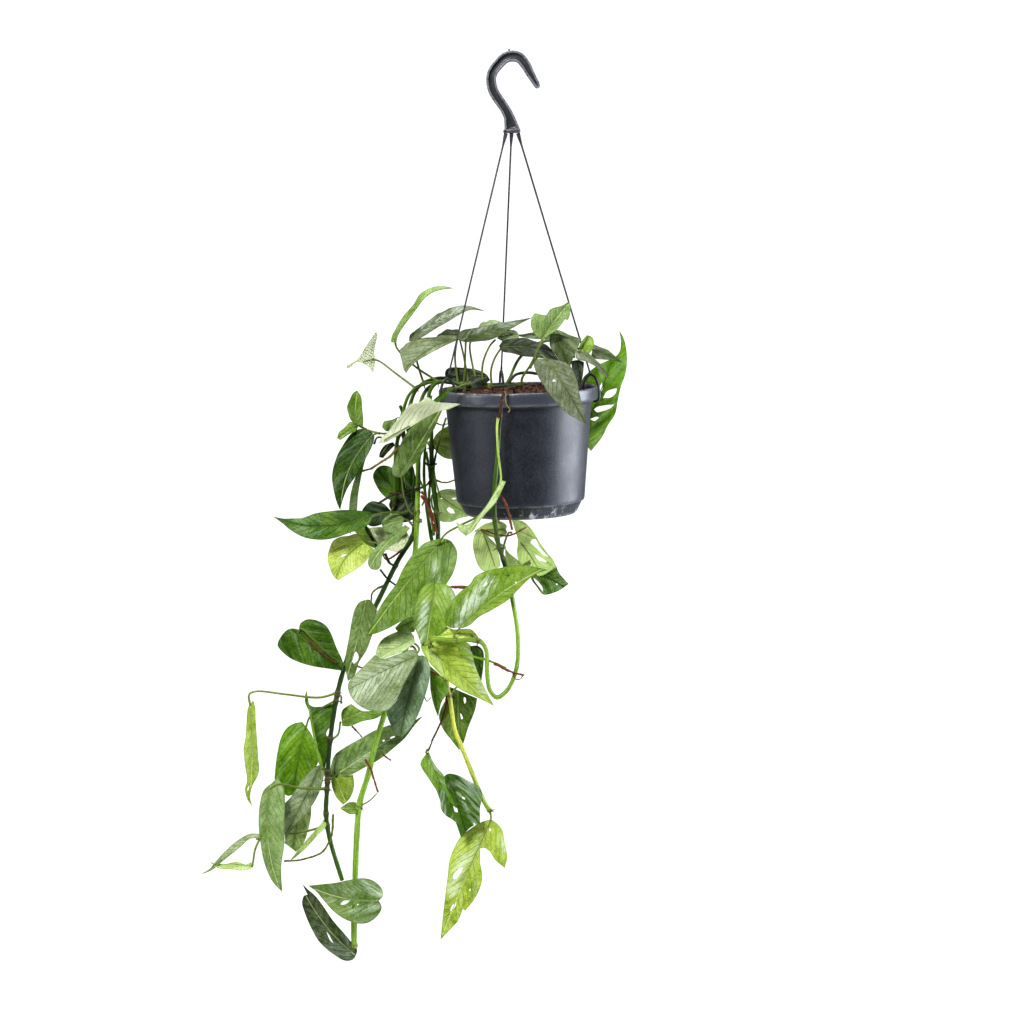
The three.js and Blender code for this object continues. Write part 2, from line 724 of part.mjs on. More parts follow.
        face: [-0.5, -0.5, 0.7],
        fold: 40,
        stalk: [[-191, -426, 0], [-192, -430, 3]],
      }),
      e12: leaf([-184, -386, 10], [-170, -420, 12], 28, {
        kind: "egg",
        stalk: [[-188, -388, 8], [-186, -387, 9]],
      }),
    },
  },

  vine_left: {
    colour: 0x4b7a2c,
    stems: [
      stem([-46, -4], [2.3, 1.8], [
        [-62, 4, -6], [-80, 6, -5], [-96, 3, -6], [-108, -6, -8], [-114, -20, -8], [-118, -40, -6],
        [-122, -62, -4], [-123, -90, 2], [-124, -118, 6],
      ]),
    ],
    twigs: [
      [[-121, -56, -5], [-134, -72, -4], [-148, -80, -6], [-157, -84, -6]],
      [[-114, -24, -8], [-106, -34, -12], [-96, -32, -14]],
    ],
    leaves: {
      t1: leaf([-125, 45, -7], [-65, 101, -4], 22, {
        bend: 0.0,
        kind: "lance",
        face: [-0.65, -0.32, 0.7],
        bow: 0.15,
        fold: 18,
        stalk: [[-80, 6, -5], [-104, 22, -7], [-122, 41, -8]],
      }),
      t2: leaf([-109, 48, 2], [-34, 77, 2], 22, {
        kind: "lance",
        face: [-0.3, -0.5, 0.8],
        bow: 0.1,
        fold: [22, 10],
        stalk: [[-94, 3, -6], [-100, 22, -3], [-105, 42, 1]],
      }),
      m1: leaf([-143, 29, -6], [-169, 20, -42], 40, {
        split: 0.64,
        kind: "arrow",
        face: [-0.78, 0.62, 0.1],
        fold: 4,
        stalk: [[-102, -1, -7], [-122, 14, -7], [-138, 26, -6]],
      }),
      m2: leaf([-163, -38, -10], [-161, -6, -22], 20, {
        kind: "round",
        face: [-0.3, -1, 0.1],
        stalk: [[-138, -46, -13], [-152, -42, -10]],
      }),
      m3: leaf([-164, -39, -10], [-179, -52, -18], 14, {
        kind: "round",
        face: [0.2, -1, 0.4],
        stalk: [[-152, -42, -10], [-160, -38, -10]],
      }),
      m4: leaf([-146, -48, -14], [-177, -125, -22], 38, {
        bend: 0.09,
        kind: "lance",
        face: [-0.25, -1, 0.2],
        fold: [10, 6],
        stalk: [[-118, -42, -6], [-132, -46, -12], [-142, -46, -14]],
      }),
      m5: leaf([-143, -52, -8], [-166, -140, 6], 17, {
        kind: "lance",
        face: [0.93, -0.4, 0.1],
        bend: -0.03,
        stalk: [[-120, -48, -5], [-134, -50, -6], [-141, -50, -6]],
      }),
      m6: leaf([-136, -54, -40], [-59, -18, -72], 32, {
        kind: "lance",
        face: [0.1, 0.85, 0.5],
        fold: 4,
        stalk: [[-119, -46, -6], [-128, -50, -24], [-135, -53, -37]],
      }),
      m7: leaf([-117, -32, -18], [-138, -31, -26], 13, {
        stalk: [[-116, -30, -8], [-117, -32, -14]],
      }),
      m10: leaf([-114, -112, 16], [-143, -78, 16], 31, {
        kind: "round",
        face: [-0.2, -1, 0.1],
        stalk: [[-123, -106, 4], [-118, -112, 12]],
      }),
      m11: leaf([-122, -46, 4], [-140, -72, 8], 14, {
        kind: "lance",
        stalk: [[-119, -44, -6], [-121, -45, 0]],
      }),
      m12: leaf([-126, -124, 8], [-160, -133, 6], 28, {
        kind: "round",
        face: [-0.1, -1, 0.3],
        stalk: [[-124, -116, 5], [-125, -121, 7]],
      }),
    },
  },

  crown_middle: {
    colour: 0x4d7243,
    stems: [
      stem([-4, -22], [2.2, 2], [[4, 3, -22], [-12, 2, -18], [-26, 1, -14]]),
    ],
    twigs: [],
    leaves: {
      t9: leaf([-20, 40, -14], [44, 33, -22], 29, {
        kind: "egg",
        face: [0, -0.62, 0.78],
        bow: 0.08,
        stalk: [[-26, -1, -14], [-27, 17, -14], [-23, 30, -13]],
      }),
      t11: leaf([23, 47, -38], [52, 85, -32], 32, {
        split: 0.42,
        face: [-0.3, -0.9, 0.3],
        fold: [30, 16],
        stalk: [[4, 1, -22], [4, 9, -28], [12, 22, -36], [20, 38, -40]],
      }),
      t13: leaf([27, 30, -56], [68, -37, -90], 42, {
        kind: "egg",
        face: [0.1, -0.95, 0.35],
        bow: 0.08,
        fold: 4,
        slits: [[0.33, 3, 4.5, 3.4]],
        stalk: [[12, 20, -35], [19, 30, -46], [24, 32, -54]],
      }),
    },
  },

  crown_right: {
    colour: 0x52704a,
    stems: [
      stem([-12, -4], [2.2, 1.8], [[-9, 8, -5], [2, 30, 0], [22, 45, 4], [44, 47, 4], [60, 41, 2]]),
    ],
    twigs: [],
    leaves: {
      t10: leaf([58, 46, 14], [-8, 53, 22], 18, {
        kind: "lance",
        face: [0, -0.45, 0.9],
        stalk: [[54, 44, 3], [58, 46, 10]],
      }),
      t12: leaf([38, 54, -26], [51, 19, -34], 34, {
        kind: "egg",
        face: [0.1, -0.95, 0.3],
        fold: 12,
        stalk: [[36, 47, 4], [35, 53, -10], [36, 55, -22]],
      }),
      t14: leaf([56, 32, -17], [63, -2, -22], 18, {
        kind: "lance",
        face: [0.4, -0.9, 0.2],
        stalk: [[58, 42, 2], [56, 38, -9]],
      }),
      t15: leaf([57, 37, -30], [89, 11, -44], 13, {
        kind: "lance",
        face: [0.3, -0.6, 0.75],
        bow: 0.12,
        stalk: [[56, 40, -10], [56, 38, -22]],
      }),
      t16: leaf([62, 36, -36], [72, 54, -36], 17, {
        face: [0.2, -1, 0],
        fold: 48,
        stalk: [[56, 38, -22], [59, 36, -31]],
      }),
      t17: leaf([66, 39, -24], [102, 26, -28], 17, {
        kind: "lance",
        face: [0.1, -0.65, 0.75],
        stalk: [[56, 39, -14], [61, 39, -20]],
      }),
    },
  },

  shoot_back: {
    colour: 0x4a8a2a,
    stems: [
      stem([-8, 46], [2.2, 1.9], [
        [-2, 13, 52], [10, 15, 56], [24, 13, 60], [42, 11, 64], [56, 4, 70], [62, -16, 74], [64, -52, 72],
      ]),
    ],
    twigs: [],
    leaves: {
      t18: leaf([50, -68, 66], [102, 56, 50], 42, {
        kind: "lance",
        face: [0.15, -1, 0.15],
        bend: 0.03,
        fold: [14, 6],
        slits: [[0.52, 10, 15, 5.5], [0.38, 9, 18, 6], [0.27, 6, 10, 5], [0.62, -10, 16, 2.5]],
        stalk: [[64, -52, 72], [58, -64, 70]],
      }),
      b1: leaf([40, -14, 88], [16, -92, 96], 42, {
        face: [-0.1, 1, 0.3],
        stalk: [[42, 11, 64], [42, 10, 78], [41, -4, 88]],
      }),
      b2: leaf([52, -64, 82], [40, -128, 84], 34, {
        face: [0.4, 1, 0.2],
        stalk: [[63, -46, 72], [58, -50, 80]],
      }),
    },
  },
};

// A stem, with an upright peg in the mix if it has a root there
function stemSolid({ root, startRadius, endRadius, places }) {
  const points = places.map((place) => seen(...place));
  if (!root) {
    return bar(points, startRadius, endRadius, 4, 30);
  }
  const crook = at(...root, ABOVE_MIX);
  const peg = bar([at(...root, -ROOTED_DEPTH), at(...root, ABOVE_MIX + 1)], startRadius, startRadius, 4, 30);
  return peg.add(bar([crook, ...points], startRadius, endRadius, 4, 30));
}

function vineSolid({ stems, twigs, leaves }) {
  const solids = stems.map(stemSolid);
  for (const places of twigs) {
    const points = places.map((place) => seen(...place));
    solids.push(bar(points, ROOT_RADIUS, ROOT_RADIUS * 0.8, 3, 20));
  }
  for (const one of Object.values(leaves)) {
    solids.push(bladeSolid(one), stalkSolid(one));
  }
  return wasm.Manifold.union(solids);
}

// The pot: a turned shell with a rim band, a stepped foot and drain holes
function potSolid() {
  const foot = -POT_HEIGHT;
  const shell = turned([
    [0, foot],
    [FOOT_RADIUS - 1, foot],
    [FOOT_RADIUS, foot + 1],
    [FOOT_TOP_RADIUS, foot + FOOT_HEIGHT - 2],
    [BODY_FOOT_RADIUS, foot + FOOT_HEIGHT],
    [BODY_TOP_RADIUS, -BAND_HEIGHT],
    [RIM_RADIUS - 1, -BAND_HEIGHT],
    [RIM_RADIUS, -0.8],
    [RIM_RADIUS - 0.6, 0],
    [RIM_RADIUS - WALL, 0],
    [RIM_RADIUS - WALL - 0.6, -BAND_HEIGHT + 1],
    [BODY_TOP_RADIUS - WALL, -BAND_HEIGHT - WALL],
    [BODY_FOOT_RADIUS - WALL, foot + FOOT_HEIGHT + WALL],
    [FOOT_TOP_RADIUS - WALL, foot + FOOT_HEIGHT],
    [FOOT_RADIUS - WALL, foot + FLOOR],
    [0, foot + FLOOR],
  ]);
  const drains = Array.from({ length: DRAIN_HOLES }, (_, i) => {
    const angle = (2 * Math.PI * (i + 0.5)) / DRAIN_HOLES;
    const x = DRAIN_CIRCLE * Math.cos(angle);
    const y = DRAIN_CIRCLE * Math.sin(angle);
    return upright(x, y, foot - FLOOR, foot + 2 * FLOOR, DRAIN_RADIUS, 10);
  });
  return shell.subtract(wasm.Manifold.union(drains));
}

// The growing mix: it fills the pot, with a slightly heaped top and a plain hole for each stem
function soilSolid() {
  const foot = -POT_HEIGHT;
  const inside = WALL + GAP;
  const heap = turned([
    [0, foot + FLOOR + GAP],
    [FOOT_RADIUS - inside - 0.4, foot + FLOOR + GAP],
    [FOOT_TOP_RADIUS - inside - 0.4, foot + FOOT_HEIGHT],
    [BODY_FOOT_RADIUS - inside - 0.4, foot + FOOT_HEIGHT + WALL],
    [BODY_TOP_RADIUS - inside - 0.4, -BAND_HEIGHT - WALL],
    [RIM_RADIUS - inside - 1.4, -BAND_HEIGHT + 3],
    [RIM_RADIUS - inside - 0.8, -5.4],
    [56, -3.2],
    [0, -0.6],
  ]);
  const holes = [];
  for (const { stems } of Object.values(VINES)) {
    for (const { root, startRadius } of stems.filter((one) => one.root)) {
      holes.push(upright(...root, -ROOTED_DEPTH - GAP, 20, startRadius + HOLE_CLEARANCE, 6));
    }
  }
  return heap.subtract(wasm.Manifold.union(holes));
}

// The hook's middle line in the plane of the hook, from its foot round the crown to its point, and
// its half width there. The inside of its crown is the seat, at the origin.
const HOOK_LINE = [
  [-2.2, HOOK_BASE, 7.2], [-4, -61, 5], [-9.4, -47, 4.6], [-19.7, -28.6, 5], [-21.4, -18, 5], [-19.7, -10, 4.9],
  [-13.5, -2, 5], [-7, 3.6, 5.1], [0, 5.2, 5.2], [6.9, 3.4, 5], [13.5, -4.6, 4.7], [16.5, -10.6, 4.3],
  [21.8, -23.6, 3.2],
];

// The hook's outline, drawn in by an inset
function hookOutline(inset) {
  const curve = new THREE.CatmullRomCurve3(HOOK_LINE.map(([x, z]) => at(x, 0, z)), false, "centripetal");
  const widths = new THREE.SplineCurve(HOOK_LINE.map(([, , half], i) => new THREE.Vector2(i, half)));
  const steps = 20;
  const outer = [];
  const inner = [];
  for (let i = 0; i <= steps; i += 1) {
    const t = THREE.MathUtils.lerp(inset / 60, 1 - inset / 60, i / steps);
    const place = curve.getPoint(t);
    const along = curve.getTangent(t);
    const half = widths.getPoint(t).y - inset;
    outer.push([place.x - along.z * half, place.z + along.x * half]);
    inner.push([place.x + along.z * half, place.z - along.x * half]);
  }
  return [...inner, ...outer.reverse()];
}

// A plate in the XZ plane, centred on Y, from an outline
function plate(outline, depth) {
  const shape = new THREE.Shape(outline.map(([x, z]) => new THREE.Vector2(x, z)));
  const extruded = new THREE.ExtrudeGeometry(shape, { depth, bevelEnabled: false });
  return solidOf(extruded.rotateX(Math.PI / 2).translate(0, depth / 2, 0));
}

// The hook: an I section, which is a thin web between raised flanges, on a bar that carries the strands
function hookSolid() {
  const body = plate(hookOutline(0), HOOK_DEPTH);
  const pocketDepth = (HOOK_DEPTH - HOOK_WEB) / 2;
  const pocket = plate(hookOutline(HOOK_FLANGE), pocketDepth);
  const shift = HOOK_WEB / 2 + pocketDepth / 2;
  const hollowed = body.subtract(pocket.translate([0, shift, 0])).subtract(pocket.translate([0, -shift, 0]));
  const foot = new THREE.BoxGeometry(BAR_WIDTH, HOOK_DEPTH, BAR_HEIGHT);
  foot.translate(AXIS_X, 0, HOOK_BASE - BAR_HEIGHT / 2 + 0.4);
  return wasm.Manifold.union([hollowed, solidOf(foot), upright(-3, 0, 9.4, 12.4, 0.9, 6)]);
}

// A place on a clip, from its direction round the pot and its distance from the axis
function around(degrees, radius, height) {
  const angle = THREE.MathUtils.degToRad(degrees);
  return at(radius * Math.cos(angle), radius * Math.sin(angle), height);
}

const CLIP_TOP = 12.5;
const CLIP_INNER = 66;
const CLIP_OUTER = RIM_RADIUS + GAP + ROD_RADIUS;
const CLIP_CREST = 74;

// A clip: a rod that straddles the rim, with its outer end hooked in below the band
function clipSolid(degrees) {
  const under = -BAND_HEIGHT - GAP - ROD_RADIUS;
  const points = [
    [CLIP_INNER, -2.6], [CLIP_INNER + 1.6, 5], [CLIP_CREST - 3, CLIP_TOP - 2.2], [CLIP_CREST, CLIP_TOP],
    [CLIP_CREST + 4, CLIP_TOP - 2.4], [CLIP_OUTER - 1.2, 4.6], [CLIP_OUTER + 0.3, -2], [CLIP_OUTER + 0.3, under + 2.6],
    [CLIP_OUTER - 1.4, under], [BODY_TOP_RADIUS + 2.6, under],
  ];
  return bar(points.map(([radius, height]) => around(degrees, radius, height)), ROD_RADIUS, ROD_RADIUS, 6, 5.5);
}

// A strand: a drawn rod from the bar of the hook to the crest of its clip, a hair clear of both
function strandSolid(degrees, across) {
  const foot = SEAT_ABOVE_RIM + HOOK_BASE - BAR_HEIGHT + 0.4;
  const top = at(across, 0, foot - GAP - 0.45);
  const low = around(degrees, CLIP_CREST - 0.6, CLIP_TOP + ROD_RADIUS + GAP / 2);
  const flare = STRAND_RADIUS * 1.7;
  const upper = bar([top, top.clone().lerp(low, 0.05)], flare, STRAND_RADIUS, 6, 12);
  const lower = bar([top.clone().lerp(low, 0.045), low], STRAND_RADIUS, STRAND_RADIUS * 0.9, 6, 300);
  return upper.add(lower);
}

const STRAND_PLACES = { left: -5.4, back: -0.6, right: 5.2 };
const PLASTIC = [0x2c2e33, 0.5];

const hanger = new THREE.Group();
hanger.add(meshFrom("hanger_hook", hookSolid(), ...PLASTIC));

const potted = new THREE.Group();
potted.position.set(AXIS_X, 0, -SEAT_ABOVE_RIM);
potted.add(meshFrom("pot", potSolid(), 0x3f434d, 0.6));
potted.add(meshFrom("soil", soilSolid(), 0x5a3324, 1));
for (const [side, degrees] of Object.entries(CLIP_SIDES)) {
  potted.add(meshFrom(`hanger_clip_${side}`, clipSolid(degrees), ...PLASTIC));
  potted.add(meshFrom(`hanger_strand_${side}`, strandSolid(degrees, STRAND_PLACES[side]), ...PLASTIC));
}
for (const [name, vine] of Object.entries(VINES)) {
  potted.add(meshFrom(name, vineSolid(vine), vine.colour, 0.45));
}

const plant = new THREE.Group();
plant.add(hanger, potted);
export default plant;
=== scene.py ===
import math

import bpy
import numpy as np
from mathutils import Matrix, Vector
from mathutils.geometry import delaunay_2d_cdt


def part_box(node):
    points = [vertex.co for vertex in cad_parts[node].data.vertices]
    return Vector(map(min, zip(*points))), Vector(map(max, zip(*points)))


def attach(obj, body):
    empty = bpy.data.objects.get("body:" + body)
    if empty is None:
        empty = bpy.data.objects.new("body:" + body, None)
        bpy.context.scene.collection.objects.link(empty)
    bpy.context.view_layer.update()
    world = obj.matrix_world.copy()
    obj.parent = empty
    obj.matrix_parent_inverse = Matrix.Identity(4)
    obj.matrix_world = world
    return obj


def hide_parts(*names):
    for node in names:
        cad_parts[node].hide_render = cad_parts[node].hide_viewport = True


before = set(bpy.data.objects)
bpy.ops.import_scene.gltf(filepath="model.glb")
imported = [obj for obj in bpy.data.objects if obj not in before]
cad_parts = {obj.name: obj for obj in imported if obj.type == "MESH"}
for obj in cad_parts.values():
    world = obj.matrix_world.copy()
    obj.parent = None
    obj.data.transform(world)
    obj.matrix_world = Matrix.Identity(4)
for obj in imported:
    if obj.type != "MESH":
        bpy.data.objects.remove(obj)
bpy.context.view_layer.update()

# A cebu blue pothos that trails from a hanging nursery pot. Sizes here are in millimetres, from the
# centre of the pot's rim, with +X to the viewer's right, +Y away from the viewer and +Z up.
MM = 0.001
POT_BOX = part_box("pot")
RIM = np.array([(POT_BOX[0].x + POT_BOX[1].x) / 2, (POT_BOX[0].y + POT_BOX[1].y) / 2, POT_BOX[1].z])

# Driving sizes of the pot
RIM_RADIUS = 80
POT_HEIGHT = 127
BAND_HEIGHT = 13
WALL = 2
BODY_TOP_RADIUS = 73.5
BODY_FOOT_RADIUS = 64.8
FOOT_HEIGHT = 14
FOOT_TOP_RADIUS = 62
FOOT_RADIUS = 57
FLOOR = 2.5
DRAIN_HOLES = 6
DRAIN_RADIUS = 4
DRAIN_CIRCLE = 38
DRAIN_SEGMENTS = 24
POT_SEGMENTS = 160

# Driving sizes of the hanger
SEAT_ABOVE_RIM = 322
SEAT_ACROSS = 2.2
HOOK_DEPTH = 8
HOOK_WEB = 3
HOOK_FLANGE = 2.1
HOOK_BASE = -67.8
BAR_WIDTH = 17
BAR_HEIGHT = 3.6
STRAND_RADIUS = 0.95
ROD_RADIUS = 1.3
ROD_SIDES = 14
STRAND_SIDES = 12
HOOK_STEP = 1.2
BAR_OVERLAP = 1.8
CLIP_TOP = 12.5
CLIP_INNER = 66
CLIP_CREST = 74
CLIP_GAP = 0.3
CLIP_OUTER = RIM_RADIUS + CLIP_GAP + ROD_RADIUS
CLIP_ANGLES = {"left": 199, "back": 103, "right": -10}
STRAND_PLACES = {"left": -6, "back": -0.4, "right": 6}

# Driving sizes of the plant. Veins and buckles are full size on a leaf of the usual length and width.
LEAF_THICKNESS = 0.45
MARGIN_WAVES = 2
USUAL_LENGTH = 85
USUAL_WIDTH = 36
VEIN_SPACING = 8
VEIN_SLOPES = (1.05, 1.15)
BUCKLE = 0.7
STALK_RADIUS = 1.25
ROOT_RADIUS = 1.15

# How a stem stands in the mix, and how near to it a stalk starts where it has a node
PEG_DEPTH = 7
ABOVE_MIX = 3.4
NODE_REACH = 9

# How fine the plant's meshes are. Inner points of a sheet keep a crowded share of the grid off its lines.
LEAF_GRID = 2.3
CROWDED = 0.45
EDGE_STEP = 2.0
CUT_STEP = 1.4
STEM_SIDES = 12
STEM_STEP = 1.6
STALK_SIDES = 8
STALK_STEP = 2.5
RIDGE_SIDES = 6
ROOT_SIDES = 8
ROOT_STEP = 1.8
STUB_SIDES = 6
STUB_STEP = 1.2

# The studio, in metres. The fill is the white surround's light, and the front has a share of it.
FLOOR_HEIGHT = -1.45
FLOOR_RADII = [0.25, 0.5, 0.75, 1, 1.25, 1.5]
FLOOR_SEGMENTS = 96
FILL = 0.3
FRONT_FILL = 0.4

# The viewer, as in the photograph
EYE = np.array([-9.1, -2110.9, 159.2])
LOOK_DOWN = math.radians(7.7)
LEAN = math.radians(1.4)
SEEN_SCALE = 1.006
LENS = 73.8

# Leaf tones, as they look in soft daylight: red, green and blue out of 255
TONES = {
    "frost": (242, 248, 214),
    "mist": (202, 220, 160),
    "silver": (144, 160, 118),
    "haze": (128, 138, 106),
    "ash": (108, 116, 90),
    "sage": (124, 150, 84),
    "moss": (98, 122, 60),
    "teal": (122, 146, 112),
    "dusk": (80, 94, 56),
    "slate": (52, 66, 32),
    "shade": (32, 42, 20),
    "dark": (40, 70, 6),
    "deep": (70, 106, 22),
    "mid": (104, 136, 44),
    "bright": (104, 146, 28),
    "light": (134, 166, 60),
    "pale": (180, 204, 124),
    "young": (166, 188, 74),
    "lemon": (206, 222, 112),
    "straw": (196, 198, 84),
    "stalk": (128, 166, 56),
    "ink": (32, 58, 12),
    "tan": (146, 138, 84),
    "root": (108, 58, 34),
    "bark": (52, 30, 18),
}

# Tones whose midrib is darker than the blade
DARK_RIBS = {"teal", "bright", "deep", "lemon", "silver", "pale", "ash", "dusk", "haze", "shade"}

# The materials' own colours, as linear light. Those that end in SHADE and GLOW multiply a tone.
LEAF_SHADE = (0.38, 0.48, 0.22)
LEAF_GLOW = (1.1, 1.15, 0.4)
LEAF_PALE_RIB = (0.62, 0.74, 0.3)
# The colour of the painted highlights on the leaves, their gleams and sheen
LEAF_GLEAM = (0.66, 0.76, 0.62)
STEM_SHADE = (0.3, 0.36, 0.24)
STEM_SPOT = (0.028, 0.016, 0.008)
CORK_DARK = (0.03, 0.018, 0.009)
CORK_LIGHT = (0.2, 0.12, 0.06)
ROOT_DARK = (0.02, 0.008, 0.004)
ROOT_SCALE = (0.42, 0.2, 0.09)
POT_SLATE = (0.006, 0.008, 0.012)
POT_STREAK = (0.012, 0.014, 0.021)
POT_CLOUD = (0.02, 0.024, 0.036)
POT_GRIT = (0.03, 0.034, 0.048)
POT_DUST = (0.08, 0.086, 0.11)
POT_SPECK = (0.004, 0.004, 0.006)
# Painted light on the band, and painted shadow in lines under the band and the step
POT_PAINTED_BAND_LIGHT = (0.07, 0.076, 0.098)
POT_PAINTED_SHADOW = (0.002, 0.002, 0.003)
# Moulded edges lighter by wear and by painted highlight
POT_WEAR_AND_HIGHLIGHT = (0.13, 0.136, 0.16)
POT_SCUFF = (0.42, 0.43, 0.46)
POT_LIME = (0.5, 0.43, 0.3)
HANGER_DARK = (0.022, 0.023, 0.026)
HANGER_LIGHT = (0.03, 0.032, 0.036)
# The colour of the painted highlights on the hanger's edges
HANGER_PAINTED_HIGHLIGHT = (0.17, 0.175, 0.2)
MIX_SHADE = (0.14, 0.12, 0.11)
MIX_BIT = (0.16, 0.085, 0.04)
MIX_CLUMP = (0.02, 0.011, 0.007)
STUDIO_PALE = (0.93, 0.93, 0.93)
WHITE = (1, 1, 1)


# Vectors

def unit(v):
    """The direction of a vector, or of each row"""
    return v / np.maximum(np.linalg.norm(v, axis=-1, keepdims=True), 1e-9)


def turned_about(v, axis, angle):
    """v, at right angles to the axis, turned about it"""
    return v * np.cos(angle) + np.cross(axis, v) * np.sin(angle)


LOOK = np.array([0, math.cos(LOOK_DOWN), -math.sin(LOOK_DOWN)])
SEEN_UP = turned_about(np.array([0, math.sin(LOOK_DOWN), math.cos(LOOK_DOWN)]), LOOK, LEAN)
SEEN_RIGHT = np.cross(LOOK, SEEN_UP)


def seen(place):
    """The point that the viewer sees so far across and up, at a depth along Y"""
    across, up, depth = place
    sight = (SEEN_RIGHT * across + SEEN_UP * up) * SEEN_SCALE - EYE
    return EYE + sight * (depth - EYE[1]) / sight[1]


def seen_spots(places):
    """Where the viewer sees places, as (across, up)"""
    sight = places - EYE
    sight = EYE - sight * ((EYE @ LOOK) / (sight @ LOOK))[:, None]
    return np.stack([sight @ SEEN_RIGHT, sight @ SEEN_UP], axis=1) / SEEN_SCALE


def linear(tone):
    """A colour out of 255 as linear light"""
    c = np.array(tone, float) / 255
    return np.where(c <= 0.04045, c / 12.92, ((c + 0.055) / 1.055) ** 2.4)


def ramp(x, low, high):
    """0 below low, 1 above high, and a smooth rise between"""
    t = np.clip((x - low) / (high - low), 0, 1)
    return t * t * (3 - 2 * t)


def peak(x, middle, width):
    """1 at the middle and a smooth fall to 0 on both sides"""
    return np.exp(-((x - middle) / width) ** 2)


# Meshes

class Piece:
    """Gathers the parts of one piece: points in millimetres, faces, and a value or a colour at each point"""

    def __init__(self, name):
        self.name = name
        self.points = []
        self.faces = []
        self.values = {}
        self.sharp = []
        self.count = 0

    def add(self, points, faces, sharp=(), **values):
        """Adds a part, whose faces and sharp edges count its own points"""
        self.points.append(np.asarray(points, float))
        self.faces += [[i + self.count for i in face] for face in faces]
        self.sharp += [(a + self.count, b + self.count) for a, b in sharp]
        for key, value in values.items():
            self.values.setdefault(key, []).append(self.spread(value, len(points)))
        self.count += len(points)

    @staticmethod
    def spread(value, count):
        """One value for all the points, or one for each"""
        value = np.asarray(value, float)
        whole = value.ndim == 0 or (value.ndim == 1 and len(value) == 3 and count != 3)
        return np.tile(value, (count, 1)) if whole else value.reshape(count, -1)

    def finish(self, material, slot, nodes):
        """Makes the mesh object, which rides on the plant's one body"""
        mesh = bpy.data.meshes.new(self.name)
        places = RIM + np.vstack(self.points) * MM
        mesh.from_pydata(places.tolist(), [], self.faces)
        mesh.shade_smooth()
        for key, parts in self.values.items():
            self.store(mesh, key, np.vstack(parts))
        self.mark_sharp(mesh)
        mesh.materials.append(material)
        piece = bpy.data.objects.new(self.name, mesh)
        bpy.context.scene.collection.objects.link(piece)
        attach(piece, "root")
        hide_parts(*nodes)
        return piece

    @staticmethod
    def store(mesh, key, data):
        """Keeps one value, a colour or a vector at each point of the mesh"""
        if data.shape[1] == 1:
            mesh.attributes.new(key, "FLOAT", "POINT").data.foreach_set("value", data.ravel())
        elif key == "tone":
            colours = np.hstack([data, np.ones((len(data), 1))])
            mesh.attributes.new(key, "FLOAT_COLOR", "POINT").data.foreach_set("color", colours.ravel())
        else:
            mesh.attributes.new(key, "FLOAT_VECTOR", "POINT").data.foreach_set("vector", data.ravel())

    def mark_sharp(self, mesh):
        """Marks the edges that were given as sharp"""
        if not self.sharp:
            return
        ends = np.zeros(len(mesh.edges) * 2, int)
        mesh.edges.foreach_get("vertices", ends)
        ends = np.sort(ends.reshape(-1, 2), axis=1)
        sharp = np.sort(np.array(self.sharp), axis=1)
        keys = ends[:, 0] * self.count + ends[:, 1]
        marked = np.isin(keys, sharp[:, 0] * self.count + sharp[:, 1])
        mesh.attributes.new("sharp_edge", "BOOLEAN", "EDGE").data.foreach_set("value", marked)


# Curves and bars

def smooth_line(points, step):
    """Points along a smooth curve through the given points, about a step apart"""
    points = [np.asarray(p, float) for p in points]
    ends = [2 * points[0] - points[1], *points, 2 * points[-1] - points[-2]]
    line = [points[0]]
    for before, start, end, after in zip(ends, ends[1:], ends[2:], ends[3:]):
        sides = ((before, start), (start, end), (end, after))
        first, middle, last = (max(np.linalg.norm(b - a), 1e-6) ** 0.5 for a, b in sides)
        leave = (start - before) / first - (end - before) / (first + middle) + (end - start) / middle
        arrive = (end - start) / middle - (after - start) / (middle + last) + (after - end) / last
        leave, arrive = leave * middle, arrive * middle
        count = max(1, round(np.linalg.norm(end - start) / step))
        for i in range(1, count + 1):
            t = i / count
            bend = (-3 * start + 3 * end - 2 * leave - arrive) * t ** 2
            turn = (2 * start - 2 * end + leave + arrive) * t ** 3
            line.append(start + leave * t + bend + turn)
    return np.array(line)


def smooth_loop(spots, step):
    """A closed outline through the given spots, smooth but for its sharp corners"""
    spots = np.array(spots, float)
    count = len(spots)
    ahead = unit(np.roll(spots, -1, axis=0) - spots)
    behind = np.roll(ahead, 1, axis=0)
    corners = [i for i in range(count) if ahead[i] @ behind[i] < 0.45] or [0]
    runs = []
    for start, end in zip(corners, corners[1:] + [corners[0] + count]):
        run = [spots[i % count] for i in range(start, end + 1)]
        runs.append(smooth_line(run, step)[:-1])
    return np.vstack(runs)


def tangents_of(line):
    """The direction of a line at each of its points"""
    return unit(np.gradient(line, axis=0))


def lengths_along(line):
    """How far along a line each of its points is"""
    return np.concatenate([[0], np.cumsum(np.linalg.norm(np.diff(line, axis=0), axis=1))])


def rings(line, radii, sides):
    """The rings of a round bar along a line, as (points, angles round it)"""
    tangents = tangents_of(line)
    normal = np.array([0.31, -0.86, 0.4])
    angles = 2 * np.pi * np.arange(sides) / sides
    points = []
    for centre, tangent, radius in zip(line, tangents, radii):
        normal = unit(normal - tangent * (normal @ tangent))
        spokes = np.outer(np.cos(angles), normal) + np.outer(np.sin(angles), np.cross(tangent, normal))
        points.append(centre + radius * spokes)
    return np.vstack(points), angles


def wall_faces(rings_count, sides):
    """The faces between closed rings of points"""
    faces = []
    for i in range(rings_count - 1):
        low, high = i * sides, (i + 1) * sides
        for j in range(sides):
            k = (j + 1) % sides
            faces.append([low + j, low + k, high + k, high + j])
    return faces


def tube_faces(rings_count, sides):
    """The faces of a closed bar"""
    faces = wall_faces(rings_count, sides)
    faces.append(list(range(sides - 1, -1, -1)))
    faces.append([(rings_count - 1) * sides + j for j in range(sides)])
    return faces


